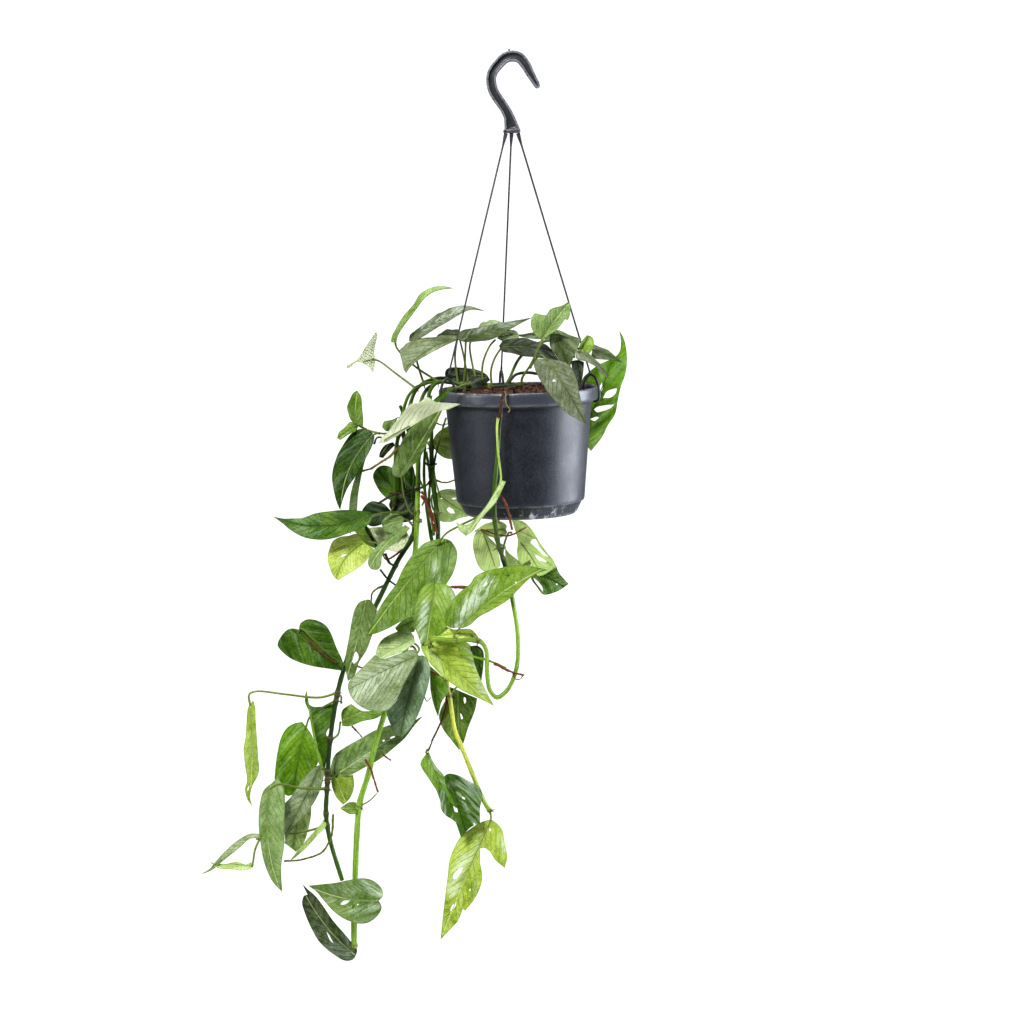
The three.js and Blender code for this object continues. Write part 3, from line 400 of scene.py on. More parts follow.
def add_bar(piece, line, radii, sides, tone, ring=0.0):
    """A round bar with its tone, and a brown ring where the ring value is high"""
    points, angles = rings(line, radii, sides)
    along = np.repeat(lengths_along(line), sides)
    around = np.tile(angles, len(line))
    grain = np.stack([np.cos(around) * 3, np.sin(around) * 3, along * 0.22], axis=1)
    ring = np.repeat(np.broadcast_to(np.asarray(ring, float), len(line)), sides)
    tone = tone if tone.ndim == 1 else np.repeat(tone, sides, axis=0)
    piece.add(points, tube_faces(len(line), sides), tone=tone, grain=grain, ring=ring)


def add_plain_bar(piece, line, radii, sides):
    """A round bar of the hanger's plastic, without the painted highlights on its edges"""
    points, _ = rings(line, radii, sides)
    piece.add(points, tube_faces(len(line), sides), edge=0.0)


# Leaves

# Outlines of half a blade, from the foot to the tip: (share of the length, share of the half width)
OUTLINES = {
    "egg": [
        (0, 0), (-0.03, 0.35), (0.03, 0.72), (0.17, 0.97), (0.36, 0.99), (0.58, 0.8), (0.82, 0.36), (1, 0),
    ],
    "round": [
        (0, 0), (-0.02, 0.4), (0.08, 0.82), (0.28, 1), (0.55, 0.98), (0.78, 0.75), (0.94, 0.4), (1, 0),
    ],
}


class Leaf:
    """A leaf from its seen base and tip, its true width, its tone, its stalk and how it is bent. Angles are
    in degrees: fold lifts each half, left then right, curl bends the margins back down and twist turns the
    tip. split is the left half's share of the width. The edge and the cuts, which are holes, are outlines as
    the viewer sees them, (across, up). A leaf without an edge takes the outline of its kind.
    gloss is how strongly pale gleams, which are painted highlights, show between the side veins, and each
    gleam is a
    broad pale patch of painted highlight: (across, up, across, up, radius, strength). fresh is how bright
    and young its stalk is."""

    def __init__(self, base, tip, width, tone, stalk, kind="egg", split=0.5, face=(0, -1, 0.25), bow=0.06,
                 bend=0.0, twist=0.0, fold=12, curl=28, wave=1.0, edge=(), cuts=(), gloss=0.1, gleams=(),
                 fresh=0.34):
        folds = fold if isinstance(fold, tuple) else (fold, fold)
        self.base = seen(base)
        self.tip = seen(tip)
        self.stalk = [seen(place) for place in stalk]
        self.tone = tone
        self.gloss = gloss
        self.gleams = gleams
        self.fresh = fresh
        self.kind = kind
        self.edge = edge
        self.cuts = cuts
        self.twist = math.radians(twist)
        self.folds = [math.radians(folds[0]), math.radians(folds[1])]
        self.curl = math.radians(curl)
        self.wave = wave
        self.halves = [width * split, width * (1 - split)]
        self.width = width
        chord = self.tip - self.base
        self.length = np.linalg.norm(chord)
        along = unit(chord)
        face = unit(np.array(face, float))
        self.up = unit(face - along * (face @ along))
        side = np.cross(along, self.up)
        middle = (self.base + self.tip) / 2
        self.middle = middle + 2 * bow * self.length * self.up + 2 * bend * self.length * side

    def surface(self, along, across):
        """The places and normals at distances along the midrib and across, right positive"""
        share = along / self.length
        t = np.clip(share, 0, 1)[:, None]
        tangent = unit((1 - t) * (self.middle - self.base) + t * (self.tip - self.middle))
        centre = (1 - t) ** 2 * self.base + 2 * (1 - t) * t * self.middle + t ** 2 * self.tip
        centre = centre + tangent * (share[:, None] - t) * self.length
        normal = unit(self.up - tangent * (tangent @ self.up)[:, None])
        normal = turned_about(normal, tangent, self.twist * t)
        right = np.cross(tangent, normal)
        left = across < 0
        sign = np.sign(across)
        distance = np.abs(across)
        half = np.where(left, *self.halves)
        start = np.where(left, *self.folds)
        turn = self.curl / half
        end = start - turn * distance
        reach = (np.sin(start) - np.sin(end)) / turn
        phase = 2 * np.pi * (MARGIN_WAVES * share + 0.25 * sign)
        ripple = self.wave * (distance / half) ** 2 * np.sin(phase)
        lift = (np.cos(end) - np.cos(start)) / turn + ripple
        places = centre + right * (sign * reach)[:, None] + normal * lift[:, None]
        facing = normal * np.cos(end)[:, None] - right * (sign * np.sin(end))[:, None]
        return places, facing

    def flattened(self, spots):
        """The flat (along, across) of the blade's points that the viewer sees at the given spots. The search
        starts at the nearest point of a coarse grid, and goes on in damped steps down the slopes."""
        along = np.linspace(-0.4, 1.3, 60) * self.length
        across = np.linspace(-1.6, 1.6, 50) * self.width / 2
        grid = np.stack([part.ravel() for part in np.meshgrid(along, across)], axis=1)
        grid_spots = self.seen_at(grid)
        flat = grid[[np.linalg.norm(grid_spots - spot, axis=1).argmin() for spot in spots]]
        nudge = 0.1
        for _ in range(12):
            here = self.seen_at(flat)
            forward = self.seen_at(flat + [nudge, 0])
            sideways = self.seen_at(flat + [0, nudge])
            slopes = np.stack([forward - here, sideways - here], axis=2) / nudge
            miss = (spots - here)[:, :, None]
            damped = slopes.transpose(0, 2, 1) @ slopes + 0.004 * np.eye(2)
            step = np.linalg.solve(damped, slopes.transpose(0, 2, 1) @ miss)[:, :, 0]
            flat = flat + np.clip(step, -3, 3)
        return flat

    def seen_at(self, flat):
        """Where the viewer sees the blade's flat points"""
        return seen_spots(self.surface(*flat.T)[0])


class Vine:
    """Stems, bare shoots, aerial roots called twigs, and leaves, all through places as the viewer sees them:
    (across, up, depth). The name is that of the CAD object; the slot names its finish but is not used."""

    def __init__(self, name, slot):
        self.name = name
        self.slot = slot
        self.leaves = {}
        self.stems = []
        self.shoots = []
        self.twigs = []

    def leaf(self, name, base, tip, width, tone, **form):
        """A leaf, under its own name"""
        self.leaves[name] = Leaf(base, tip, width, tone, **form)

    def stem(self, root, radii, places, shades):
        """A stem, from its root in the mix as x and y, or None. The shades are tones at shares of it."""
        self.stems.append((root, radii, places, shades))

    def shoot(self, places, radius, tone):
        self.shoots.append((places, radius, tone))

    def twig(self, places, radius=ROOT_RADIUS, tone="root"):
        self.twigs.append((places, radius, tone))


VINES = []

# The vine that hangs in front of the pot

vine = Vine("vine_front", "foliage_light")
VINES.append(vine)
vine.stem((-4, -44), (2.2, 2.1), [
    (-7, 0, -64), (-11, -1, -80), (-15, -9, -89), (-18, -33, -87), (-21, -73, -85), (-24, -113, -84),
    (-21, -150, -82), (-12.5, -180, -74), (-5, -215, -70), (0, -252, -69), (-2, -283, -68),
    (-11, -303, -67), (-21, -310, -68), (-28, -303, -69), (-31, -283, -70), (-32, -262, -72),
    (-38, -254, -74), (-63, -253, -76), (-84, -252, -75), (-92, -257, -70),
], [(0, "bark"), (0.17, "bark"), (0.22, "deep"), (0.48, "dark"), (0.54, "stalk"), (1, "light")])
vine.shoot([(-60, -262, -67), (-48, -268, -69), (-30, -273, -70), (-12, -281, -71)], 1.3, "stalk")
vine.twig([(-13, -4, -87), (-12, -16, -90), (-8, -22, -91), (-10, -25, -91)], 0.8, "tan")
vine.twig([(-16, -12, -91), (-18, -24, -91), (-21, -38, -88), (-20, -50, -87)], 1.2, "bark")
vine.twig([(-22.5, -104, -84.6), (-14, -112, -87), (-9, -126, -84), (-6, -142, -80)], 1.6)
vine.twig([(-37, -142, -74), (-28, -146, -76), (-10, -149, -76), (8, -140, -74)], 1.1)
vine.twig([(-24, -276, -71), (-14, -281, -72), (-4, -285, -72), (6, -288, -73)], 1.5)
vine.twig([(-6, -284, -72), (-3, -291, -72), (2, -292, -72), (5, -288, -73)], 0.6)
vine.twig([(-66, -199.5, -52), (-52, -200, -59), (-40, -201, -62), (-30, -201, -64)], 1.5)
vine.leaf("c1", (-77, -154, -23), (-151, -249, -30), 58, "mid", split=0.6, face=(-0.1, -1, 0.3),
    fold=(10, 4), wave=1.5,
    gleams=[(-84, -172.5, -80, -198.5, 6, 0.5)],
    stalk=[(-22, -116, -84), (-38, -128, -66), (-60, -139, -44), (-73, -147, -33)],
    edge=[(-76, -151), (-84, -152.5), (-93, -155.5), (-100, -161.5), (-108, -170.5), (-116, -183.5),
        (-122, -196.5), (-130, -207.5), (-138, -219.5), (-144, -232.5), (-151.5, -248), (-142, -246),
        (-132, -242), (-118, -234.5), (-104, -228), (-92, -218.5), (-81, -207.5), (-71, -195.5),
        (-65, -185.5), (-61.5, -173.5), (-61, -164.5), (-64, -157.5), (-69, -152.5)])
vine.leaf("c3", (-82, -197, -48), (-93, -268, -57), 46, "light", face=(-0.1, -1, 0.3), fold=(8, 24),
    gleams=[(-98, -252.5, -93, -216.5, 7, 0.8), (-71, -202.5, -62, -213.5, 6, 0.6)],
    stalk=[(-14, -184, -75), (-30, -200, -56), (-58, -199, -44)],
    edge=[(-81, -195.5), (-86, -194.5), (-92, -197), (-98, -203.5), (-102, -214.5), (-104, -225.5),
        (-103, -240.5), (-100, -248.5), (-97, -257.5), (-88, -252.5), (-77, -245.5), (-68, -234.5),
        (-62, -220.5), (-62, -209.5), (-67, -200.5), (-73, -196.5)])
vine.leaf("c4", (-62, -245, -66), (30, -179, -80), 44, "light", bend=-0.05, split=0.7, face=(0.1, -1, 0.25),
    fold=(16, 8),
    gleams=[(-55, -223.5, -29, -195.5, 11, 0.85), (-63, -239.5, -57, -234.5, 5, 0.8)],
    stalk=[(-63, -253, -68), (-64, -249, -67)],
    edge=[(-61, -240.5), (-68, -240), (-72.5, -235.5), (-72, -223.5), (-68, -215.5), (-58, -204.5),
        (-47, -195.5), (-44, -190), (-32, -183.5), (-18, -180.5), (-6, -178), (9, -178), (19, -180),
        (30, -182.5), (19, -186), (10, -192.5), (0, -202.5), (-10, -212.5), (-28, -223.5), (-39, -229.5),
        (-48, -237.5), (-55, -240.5)],
    cuts=[
        [(-35, -199.5), (-33, -195), (-31, -194.5), (-31.5, -197.5)],
        [(-11, -188.5), (-9, -186.3), (-8, -187.5), (-9.5, -189.5)],
        [(-3.5, -195), (-2, -194), (-1, -195), (-2.5, -196)],
    ])
vine.leaf("c5", (-8, -143, -60), (24, -188, -64), 44, "pale", bend=0.02, face=(0.1, 1, 0.2), fold=(10, -10),
    curl=30,
    stalk=[(-16, -172, -76), (-14, -158, -70), (-9, -145, -62)],
    edge=[(-6, -132.5), (5, -134), (14, -142.5), (22, -155.5), (30, -166.5), (35, -172.5), (38, -179.5),
        (31, -184.5), (23, -188.5), (16, -187.5), (9, -179.5), (1, -173.5), (-1, -164.5), (0, -153.5),
        (-2, -145.5)],
    cuts=[
        [(12.5, -155.5), (14, -152.5), (18, -151.5), (21, -157.5), (25, -163.5), (31, -170), (25, -167.5),
            (19, -161.5)],
        [(17, -166.5), (25, -170.5), (34, -177.5), (28, -175.5), (19, -171.5)],
    ])
vine.leaf("c5_end", (4, -178, -60), (46, -200, -54), 34, "deep", face=(0.2, -1, 0.5),
    stalk=[(12, -174, -60), (6, -177, -60)],
    edge=[(31, -172.5), (35, -172.5), (38, -178.5), (41, -185.5), (50.5, -196.5), (42, -202.5), (30, -207),
        (25, -207), (19, -199.5), (13, -190.5), (15, -186.5), (21, -182.5)],
    cuts=[
        [(15.5, -190), (20, -194), (24.5, -200.5), (25, -204.5), (21, -199.5), (16, -192.5)],
        [(37.5, -196.5), (39, -195.5), (40, -197), (38.5, -198)],
    ])
vine.leaf("c6", (-37, -141, -66), (-20, -188, -68), 28, "pale", face=(0.1, 1, 0.1), fold=4,
    stalk=[(-22, -150, -82), (-32, -146, -74)],
    edge=[(-40, -142.5), (-43.5, -147.5), (-45, -157.5), (-44, -165.5), (-40, -177.5), (-36, -182.5),
        (-31, -184.5), (-22, -181.5), (-18, -178.5), (-19, -169.5), (-22, -157.5), (-29, -150),
        (-36, -144.5)])
vine.leaf("c8", (-12, -142, -66), (-44, -144, -68), 18, "pale", face=(0, 1, 0.3),
    stalk=[(-22, -132, -83), (-15, -138, -74)])
vine.leaf("c9", (-14, -158, -50), (10, -188, -50), 24, "pale", face=(0, 1, 0.4),
    stalk=[(-18, -160, -80), (-17, -157, -60)],
    edge=[(-13, -160.5), (-8, -166.5), (0, -172.5), (7, -178.5), (10, -185.5), (-3, -186.5), (-11, -178.5)])
vine.leaf("c11", (-16, -95, -92), (-53, -150, -86), 20, "mist", fresh=0.95, face=(0.3, -1, 0.3), fold=12,
    stalk=[(-20, -30, -89), (-21, -40, -91), (-20, -64, -91), (-17, -90, -91)],
    edge=[(-17, -92.5), (-23, -103.5), (-30, -115.5), (-38, -126), (-46, -134.5), (-54, -137.5),
        (-62, -134.5), (-59, -142.5), (-52, -148.5), (-45, -143.5), (-39, -134.5), (-31, -124.5),
        (-22, -114.5), (-16, -102.5), (-12, -94)])
vine.leaf("d6", (-92, -258, -56), (-25, -319, -60), 46, "young", face=(0, -1, 0.3), fold=(8, 18), wave=1.6,
    gleams=[(-48, -262.5, -35, -304.5, 8, 0.5), (-90, -264.5, -77, -280.5, 5, 0.5)],
    stalk=[(-84, -252, -68), (-90, -255, -62)],
    edge=[(-97, -258.5), (-93, -269), (-82, -282.5), (-71, -292.5), (-56, -303), (-40, -310.5),
        (-24, -318.5), (-31, -305.5), (-38, -290.5), (-44, -274.5), (-48, -257.5), (-58, -253.5),
        (-72, -252.5), (-86, -251.5), (-93, -254)])
vine.leaf("d7", (-46, -247, -52), (-86, -250, -60), 26, "lemon", face=(0.1, -0.7, 0.8), fold=34, wave=2,
    stalk=[(-42, -252, -67), (-44, -250, -58)],
    edge=[(-86, -249.5), (-78, -243.5), (-71, -239.5), (-65, -242), (-55, -241.5), (-47, -242),
        (-40, -249.5), (-38, -253.5), (-52, -254), (-68, -253), (-81, -253)])
vine.leaf("d8", (-46, -250, -50), (-34, -298, -50), 26, "deep",
    stalk=[(-44, -252, -67), (-46, -249, -56)],
    edge=[(-47, -258.5), (-40, -258.5), (-35, -263.5), (-34.5, -276.5), (-37, -295.5), (-43, -288.5),
        (-48, -272.5)])

# The vine beside the pot, which ends in the split leaves below it

vine = Vine("vine_middle", "foliage_green")
VINES.append(vine)
vine.stem((-54, -12), (2.6, 2.3), [
    (-68, 6, -12), (-81, 5, -11), (-89, -6, -11), (-87, -30, -10), (-86, -83, -4), (-80, -143, 0),
    (-82, -180, 6), (-83, -220, 8), (-78, -260, 4), (-71, -298, 0), (-68, -313, 0), (-63, -343, 0),
    (-57, -358, 0), (-45, -388, -1), (-35, -412, -2), (-28, -424, -2),
], [(0, "dusk"), (0.1, "deep"), (0.45, "dark"), (0.66, "straw"), (0.82, "straw"), (1, "light")])
vine.stem(None, (2, 1.8), [
    (-89, -6, -11), (-93, -24, -16), (-93, -56, -13), (-94, -90, -8), (-90, -130, -4), (-82, -176, 5),
], [(0, "deep"), (1, "dark")])
vine.shoot([(-92, -64, -2), (-88, -90, -2), (-89, -112, -3), (-84, -148, -4)], 1.4, "deep")
vine.shoot([(-94, -74, -8), (-88, -79, -9), (-81, -76, -8)], 1.0, "deep")
vine.shoot([(-72, -30, -4), (-78, -50, -4), (-84, -82, -5), (-78, -110, -4)], 1.0, "moss")
vine.shoot([(-100, -88, -6), (-96, -98, -7), (-92, -108, -6), (-96, -118, -6)], 1.0, "deep")
vine.twig([(-71, -301, 0), (-73, -323, -2), (-83, -348, -3), (-90, -364, -3)], 1.3, "bark")
vine.twig([(-91, -284, -8), (-82, -286, -8), (-77, -290, -6)], 1.2)
vine.twig([(-94, -308, -8), (-91, -314, -8), (-87, -310, -8)], 0.6, "bark")
vine.twig([(-97, -108, -9), (-91, -118, -10), (-85, -130, -10), (-81, -147, -10)], 1.7)
vine.twig([(-97, -104, -8), (-92, -110, -9), (-88, -128, -9), (-83, -144, -8)], 1.5)
vine.twig([(-84, -92, -4), (-74, -95, 2), (-60, -91, 6)], 1.0, "deep")
vine.twig([(-85, -33, -12), (-78, -37, -8), (-68, -36, -4)], 0.9, "bark")
# Its tone is paler to make up for the pot's shadow on it: painted light
vine.leaf("c10", (-84, -104, 40), (-36, -133, 74), 40, "pale", face=(-0.5, -1, 0.1),
    stalk=[(-82, -126, -1), (-86, -118, 20), (-86, -108, 34)],
    edge=[(-84, -112.5), (-80, -104.5), (-69, -101.5), (-56, -104.5), (-43, -112.5), (-38, -122.5),
        (-49, -128.5), (-58, -130.5), (-68, -134.5), (-77, -133.5), (-82, -129.5)],
    cuts=[
        [(-71.5, -121.5), (-69, -119.5), (-65, -122), (-63, -126), (-66, -126.5), (-70, -124)],
        [(-78, -111.5), (-76, -109.7), (-74, -110), (-76, -111.7)],
        [(-67, -111.5), (-64, -110), (-61, -110.5), (-64, -112.1)],
    ])
vine.leaf("m9", (-88, -52, 30), (-50, -64, 66), 34, "light", face=(-0.6, -1, 0.1),
    stalk=[(-86, -60, -6), (-90, -56, 12)],
    edge=[(-70, -38.5), (-77, -42.5), (-83, -48.5), (-85, -55.5), (-82, -63.5), (-75, -69.5), (-66, -71.5),
        (-55, -67.5), (-52, -52.5), (-58, -40.5)])
vine.leaf("d9", (-88, -284, -6), (-80, -330, -12), 20, "bright",
    stalk=[(-72, -294, 0), (-82, -286, -3)],
    edge=[(-88, -278.5), (-77, -288.5), (-70, -299.5), (-70, -305.5), (-76, -313.5), (-80, -329.5),
        (-84, -318.5), (-87.5, -302.5)])
vine.leaf("d10", (-60, -296, 12), (-59, -357, 12), 38, "mid", fold=(10, 22),
    stalk=[(-69, -310, 1), (-64, -302, 8)],
    edge=[(-68, -299.5), (-54, -305.5), (-41, -311), (-43, -322.5), (-50, -340.5), (-55, -356.5),
        (-59, -362.5), (-66, -353.5), (-75, -341.5), (-79, -329.5), (-77, -321.5), (-72, -311.5)],
    cuts=[
        [(-54, -309.5), (-52.5, -310.5), (-52, -314.5), (-53.5, -316.5), (-54.5, -312.5)],
        [(-58, -325.5), (-56, -327.5), (-55, -331.5), (-57, -332)],
    ])
vine.leaf("f3", (-27, -434, -2), (-77, -552, -10), 42, "young", split=0.4, face=(-0.2, -1, 0.3),
    fold=(12, 6),
    gleams=[(-55, -470.5, -66, -504.5, 9, 0.6), (-38, -448.5, -50, -474.5, 6, 0.4),
        (-18, -450.5, -15, -462.5, 5, 0.35)],
    stalk=[(-28, -424, -2), (-27, -431, -2)],
    edge=[(-27, -432.5), (-38, -435.5), (-49, -442.5), (-58, -450.5), (-68, -471.5), (-70, -486.5),
        (-73, -510.5), (-75.5, -532.5), (-77.5, -552.5), (-69, -543.5), (-60, -533.5), (-55, -521.5),
        (-53, -523.5), (-44, -512.5), (-37, -497.5), (-36, -486.5), (-38, -474.5), (-38, -461.5),
        (-34, -460.5), (-28, -464.5), (-23, -472.5), (-13.5, -480.5), (-11, -470.5), (-13.5, -454.5),
        (-16, -442.5), (-22, -435.5)],
    cuts=[
        [(-65, -490), (-61, -483.5), (-55, -479), (-56.5, -484), (-61.5, -491), (-64, -492.5)],
        [(-68, -524), (-66.5, -519), (-62, -514.5), (-62, -518), (-65.5, -522.5)],
        [(-49, -503), (-48, -501), (-47.4, -503), (-48.4, -504.3)],
        [(-29, -442.5), (-28, -440.5), (-27, -442.5), (-28, -444.5)],
    ])
vine.leaf("f4", (-91, -366, -3), (-62, -436, -8), 24, "bright", face=(-0.5, -0.9, 0.1), bend=-0.05,
    twist=20, curl=12,
    gleams=[(-88, -370.5, -74, -398.5, 5, 0.35)],
    stalk=[(-90, -362, -3), (-92, -365, -3)],
    edge=[(-89.5, -364.5), (-94, -369.5), (-97.5, -376.5), (-89, -391.5), (-80, -404.5), (-72, -412.5),
        (-62, -420.5), (-66, -410.5), (-72, -399.5), (-74, -389), (-81, -380.5), (-86, -372.5)])
vine.leaf("f4_end", (-70, -392, -6), (-50, -452, -16), 42, "deep", face=(0.2, -1, 0.4), fold=(24, 10),
    wave=2.5, gloss=0.3,
    gleams=[(-54, -391, -41, -401, 4, 0.5), (-60, -404, -50, -424, 3, 0.4)],
    stalk=[(-82, -392, -4), (-79, -389, -5)],
    edge=[(-74, -389.5), (-70, -386.5), (-60, -388), (-48, -394.5), (-39, -399.5), (-36, -408.5),
        (-38, -420.5), (-38, -435.5), (-48, -440.5), (-57, -450.5), (-60, -441.5), (-63, -434.5),
        (-73, -427.5), (-77, -421.5), (-78, -413.5), (-82, -402.5), (-76, -401.5)],
    cuts=[
        [(-65, -418.5), (-61, -421), (-60, -425), (-63, -424.5)],
        [(-56, -409), (-53, -410.5), (-53, -412.3), (-55.5, -411.3)],
        [(-44.5, -435), (-43, -436.5), (-42.6, -439.5), (-44, -438.5)],
    ])

# The long vine with the pale leaves, and the leaves on the left of the crown

vine = Vine("vine_light", "foliage_light")
VINES.append(vine)
vine.stem((-48, 8), (2.4, 3.1), [
    (-66, 5, 4), (-80, 5, 3), (-92, -3, 2), (-99, -22, 1), (-100, -60, 0), (-100, -90, 0), (-101, -123, 0),
    (-102, -153, 0), (-104, -178, 0), (-108, -213, 0), (-111, -253, 0), (-119, -286, 0), (-130, -316, -1),
    (-143, -358, -2), (-150, -388, -2), (-158, -414, -2), (-161, -443, -2), (-163, -493, -2),
    (-164, -540, -2), (-164, -560, -2),
], [(0, "dusk"), (0.08, "dusk"), (0.14, "stalk"), (0.4, "stalk"), (0.45, "deep"), (0.62, "stalk"),
    (1, "stalk")])
vine.stem((-30, 8), (2.2, 2), [(-44, 5, 5), (-58, 4, 3), (-72, 5, 4)], shades=[(0, "moss"), (1, "stalk")])
vine.shoot([(-87, -8, 0), (-90, -24, 1), (-93, -46, 1), (-99, -72, 1)], 1.3, "moss")
vine.twig([(-153, -372, -6), (-147, -382, -8), (-143, -397, -9), (-140, -405, -9)], 1.4)
vine.twig([(-158, -418, -3), (-150, -414, -6), (-141, -406, -8)], 0.9, "moss")
vine.twig([(-136, -366, -6), (-132, -369, -8), (-127, -373, -8)], 1.2)
vine.leaf("t3", (-58, 48, 4), (-114, 17, -26), 28, "haze", split=0.4, face=(-0.15, -0.75, 0.65), bow=0.14,
    stalk=[(-60, 4, 3), (-63, 30, 5)],
    edge=[(-118, 37.5), (-114, 42.5), (-106, 46.5), (-96, 49.5), (-83, 50.5), (-71, 53.5), (-61, 51.5),
        (-61, 47.5), (-70, 43.5), (-82, 37.5), (-93, 31.5), (-101, 26.5), (-108, 20.5), (-112, 14.5),
        (-114, 17.5), (-116, 25.5)])
vine.leaf("t4", (-56, 45, 2), (17, 71, 8), 19, "dusk", face=(0, -0.8, 0.6), curl=10,
    gleams=[(-48, 55.5, -3, 65.5, 5, 0.35)],
    stalk=[(-54, 4, 3), (-53, 26, 3)],
    edge=[(-62, 52.5), (-55, 57.5), (-44, 59.5), (-34, 61.5), (-23, 63.5), (-7, 66.5), (3, 68), (14, 70),
        (3, 64.5), (-9, 57.5), (-21, 50.5), (-29, 47.5), (-38, 46.5), (-50, 45.5), (-59, 47.5)])
vine.leaf("t5", (-58, 53, 16), (-82, 48, 16), 20, "dusk", kind="round", face=(0, -0.6, 0.8),
    stalk=[(-50, 5, 4), (-54, 30, 12)])
vine.leaf("t6", (-46, 51, 18), (-10, 60, 20), 21, "silver", face=(0, -0.7, 0.7), bow=0.1,
    stalk=[(-41, 4.6, 5.2), (-45, 20, 10), (-48, 44, 16)],
    edge=[(-40, 59.5), (-37, 64.5), (-31, 67.5), (-24, 67.5), (-16, 65.5), (-12, 62.5), (-18, 58.5),
        (-28, 56.5), (-36, 56.5)])
vine.leaf("t7", (-24, 48, 4), (2, 53, 4), 18, "silver", face=(0, -0.7, 0.7),
    stalk=[(-36, 3.5, 6), (-35, 25, 4), (-28, 42, 3)],
    edge=[(-21, 49.5), (-16, 54.5), (-9, 57.5), (-2, 56.5), (1, 51.5), (0, 48.5), (-7, 47.5), (-15, 46.5)])
vine.leaf("t8", (-30, 12, 9), (-73, 9, 9), 21, "shade", face=(0, -0.85, 0.5),
    stalk=[(-46, 5, 5), (-37, 9, 8)],
    edge=[(-73, 14.5), (-71, 18.5), (-67, 20), (-53, 19.5), (-40, 17.5), (-31, 12.5), (-28, 7.5),
        (-38, 0.5), (-53, 0.5), (-70, 5.5)])
vine.leaf("m8", (-119, -90, -22), (-77, -21, -34), 30, "moss", face=(0.1, -1, 0.2),
    stalk=[(-101, -124, 0), (-106, -126, -8), (-114, -108, -20)],
    edge=[(-118, -90), (-125, -87), (-126, -80.5), (-123, -71.5), (-119, -60.5), (-114, -49.5),
        (-107, -39.5), (-97, -29.5), (-84, -22.5), (-73, -17.5), (-78, -27.5), (-83, -39.5), (-89, -50.5),
        (-93, -60.5), (-99, -71.5), (-107, -79.5), (-113, -86.5)])
vine.leaf("l4", (-93, -133, -14), (-150, -184, -20), 30, "sage", bend=0.1, face=(0.1, -0.8, 0.5),
    stalk=[(-102, -134, 0), (-97, -132, -8)],
    edge=[(-113, -137.5), (-124, -144.5), (-133, -151.5), (-142, -159.5), (-149, -169.5), (-150, -176.5),
        (-147, -181.5), (-140, -182), (-137, -177.5), (-136, -168.5), (-130, -160.5), (-123, -155.5),
        (-115, -148.5), (-108, -140.5)])
# Its tone is lighter to make up for c1's shadow on it: painted light
vine.leaf("d3", (-105, -251, -16), (-143, -274, -22), 30, "mist", face=(0, -1, 0.4),
    stalk=[(-111, -250, 0), (-107, -250, -10)],
    edge=[(-103, -255.5), (-113, -263), (-127, -268.5), (-138, -272.5), (-142, -267.5), (-140, -258.5),
        (-135, -251.5), (-124, -245.5), (-112, -242.5), (-105, -247.5)])
vine.leaf("d4", (-101, -268, -38), (-172, -304, -48), 56, "silver", face=(0, -1, 0.35), bow=0.07, fold=8,
    wave=1.2,
    gleams=[(-158, -306, -124, -280, 15, 0.5)],
    stalk=[(-112, -256, 0), (-104, -256, -14), (-99, -263, -32)],
    edge=[(-101, -262.5), (-101, -271.5), (-107, -283.5), (-114, -296.5), (-120, -309.5), (-127, -320),
        (-136, -324), (-149, -323), (-161, -316.5), (-168, -307.5), (-170, -296.5), (-164, -288.5),
        (-156, -280.5), (-143, -267.5), (-136, -271.5), (-122, -267.5), (-108, -262.5)])
vine.leaf("d5", (-98, -268, -22), (-118, -351, -28), 36, "teal", face=(-0.2, -1, 0.15),
    stalk=[(-112, -258, 0), (-104, -260, -10)],
    edge=[(-101, -268.5), (-94, -268.5), (-88, -279.5), (-89, -293.5), (-93, -308.5), (-100, -327.5),
        (-108, -341.5), (-116, -350), (-122, -347.5), (-127, -338.5), (-131, -323.5), (-123, -315.5),
        (-116, -299.5), (-107, -282.5)])
vine.leaf("e13", (-160, -421, -4), (-178, -421, -2), 13, "mid", face=(0, -1, 0.5),
    stalk=[(-159, -420, -2), (-160, -420, -3)])
vine.leaf("f1", (-138, -513, -16), (-209, -499, -20), 48, "moss", bend=-0.07, face=(0, -1, 0.4), bow=0.06,
    gleams=[(-156, -497.5, -138, -506.5, 8, 0.45), (-166, -524.5, -142, -519.5, 6, 0.4),
        (-183, -500.5, -166, -504.5, 5, 0.3)],
    stalk=[(-163, -524, -2), (-150, -524, -4), (-138, -520, -8)],
    edge=[(-139.5, -513.5), (-135, -508.5), (-137, -500.5), (-145, -493.5), (-155, -491), (-168, -492.5),
        (-182, -495.5), (-196, -497), (-210, -498.5), (-202, -504), (-195, -512.5), (-184, -524.5),
        (-172, -532.5), (-158, -536.5), (-148, -534.5), (-139, -526.5), (-136.5, -519.5)],
    cuts=[
        [(-178, -517), (-174, -513.5), (-168, -513.3), (-172, -516.5), (-176, -517.5)],
        [(-167, -518.5), (-164, -516.7), (-159, -516.7), (-162.5, -520), (-166, -522.5)],
    ])
vine.leaf("f2", (-165, -566, -2), (-218, -498, -8), 34, "slate", split=0.55, bend=-0.06,
    face=(0.3, -1, 0.3), fold=(20, 14),
    stalk=[(-164, -558, -2), (-165, -563, -2)],
    edge=[(-216, -496.5), (-210, -502.5), (-204, -507.5), (-196, -517.5), (-185, -533.5), (-172, -548.5),
        (-164, -558.5), (-161, -562.5), (-165, -572), (-173, -573.5), (-184, -567.5), (-198, -555.5),
        (-207, -540.5), (-214, -523.5), (-216, -515.5), (-214, -508.5), (-210.5, -507.5)],
    cuts=[[(-192, -544), (-189, -547.5), (-184, -556.8), (-188, -553)]])

# The vine with the dark spotted leaves

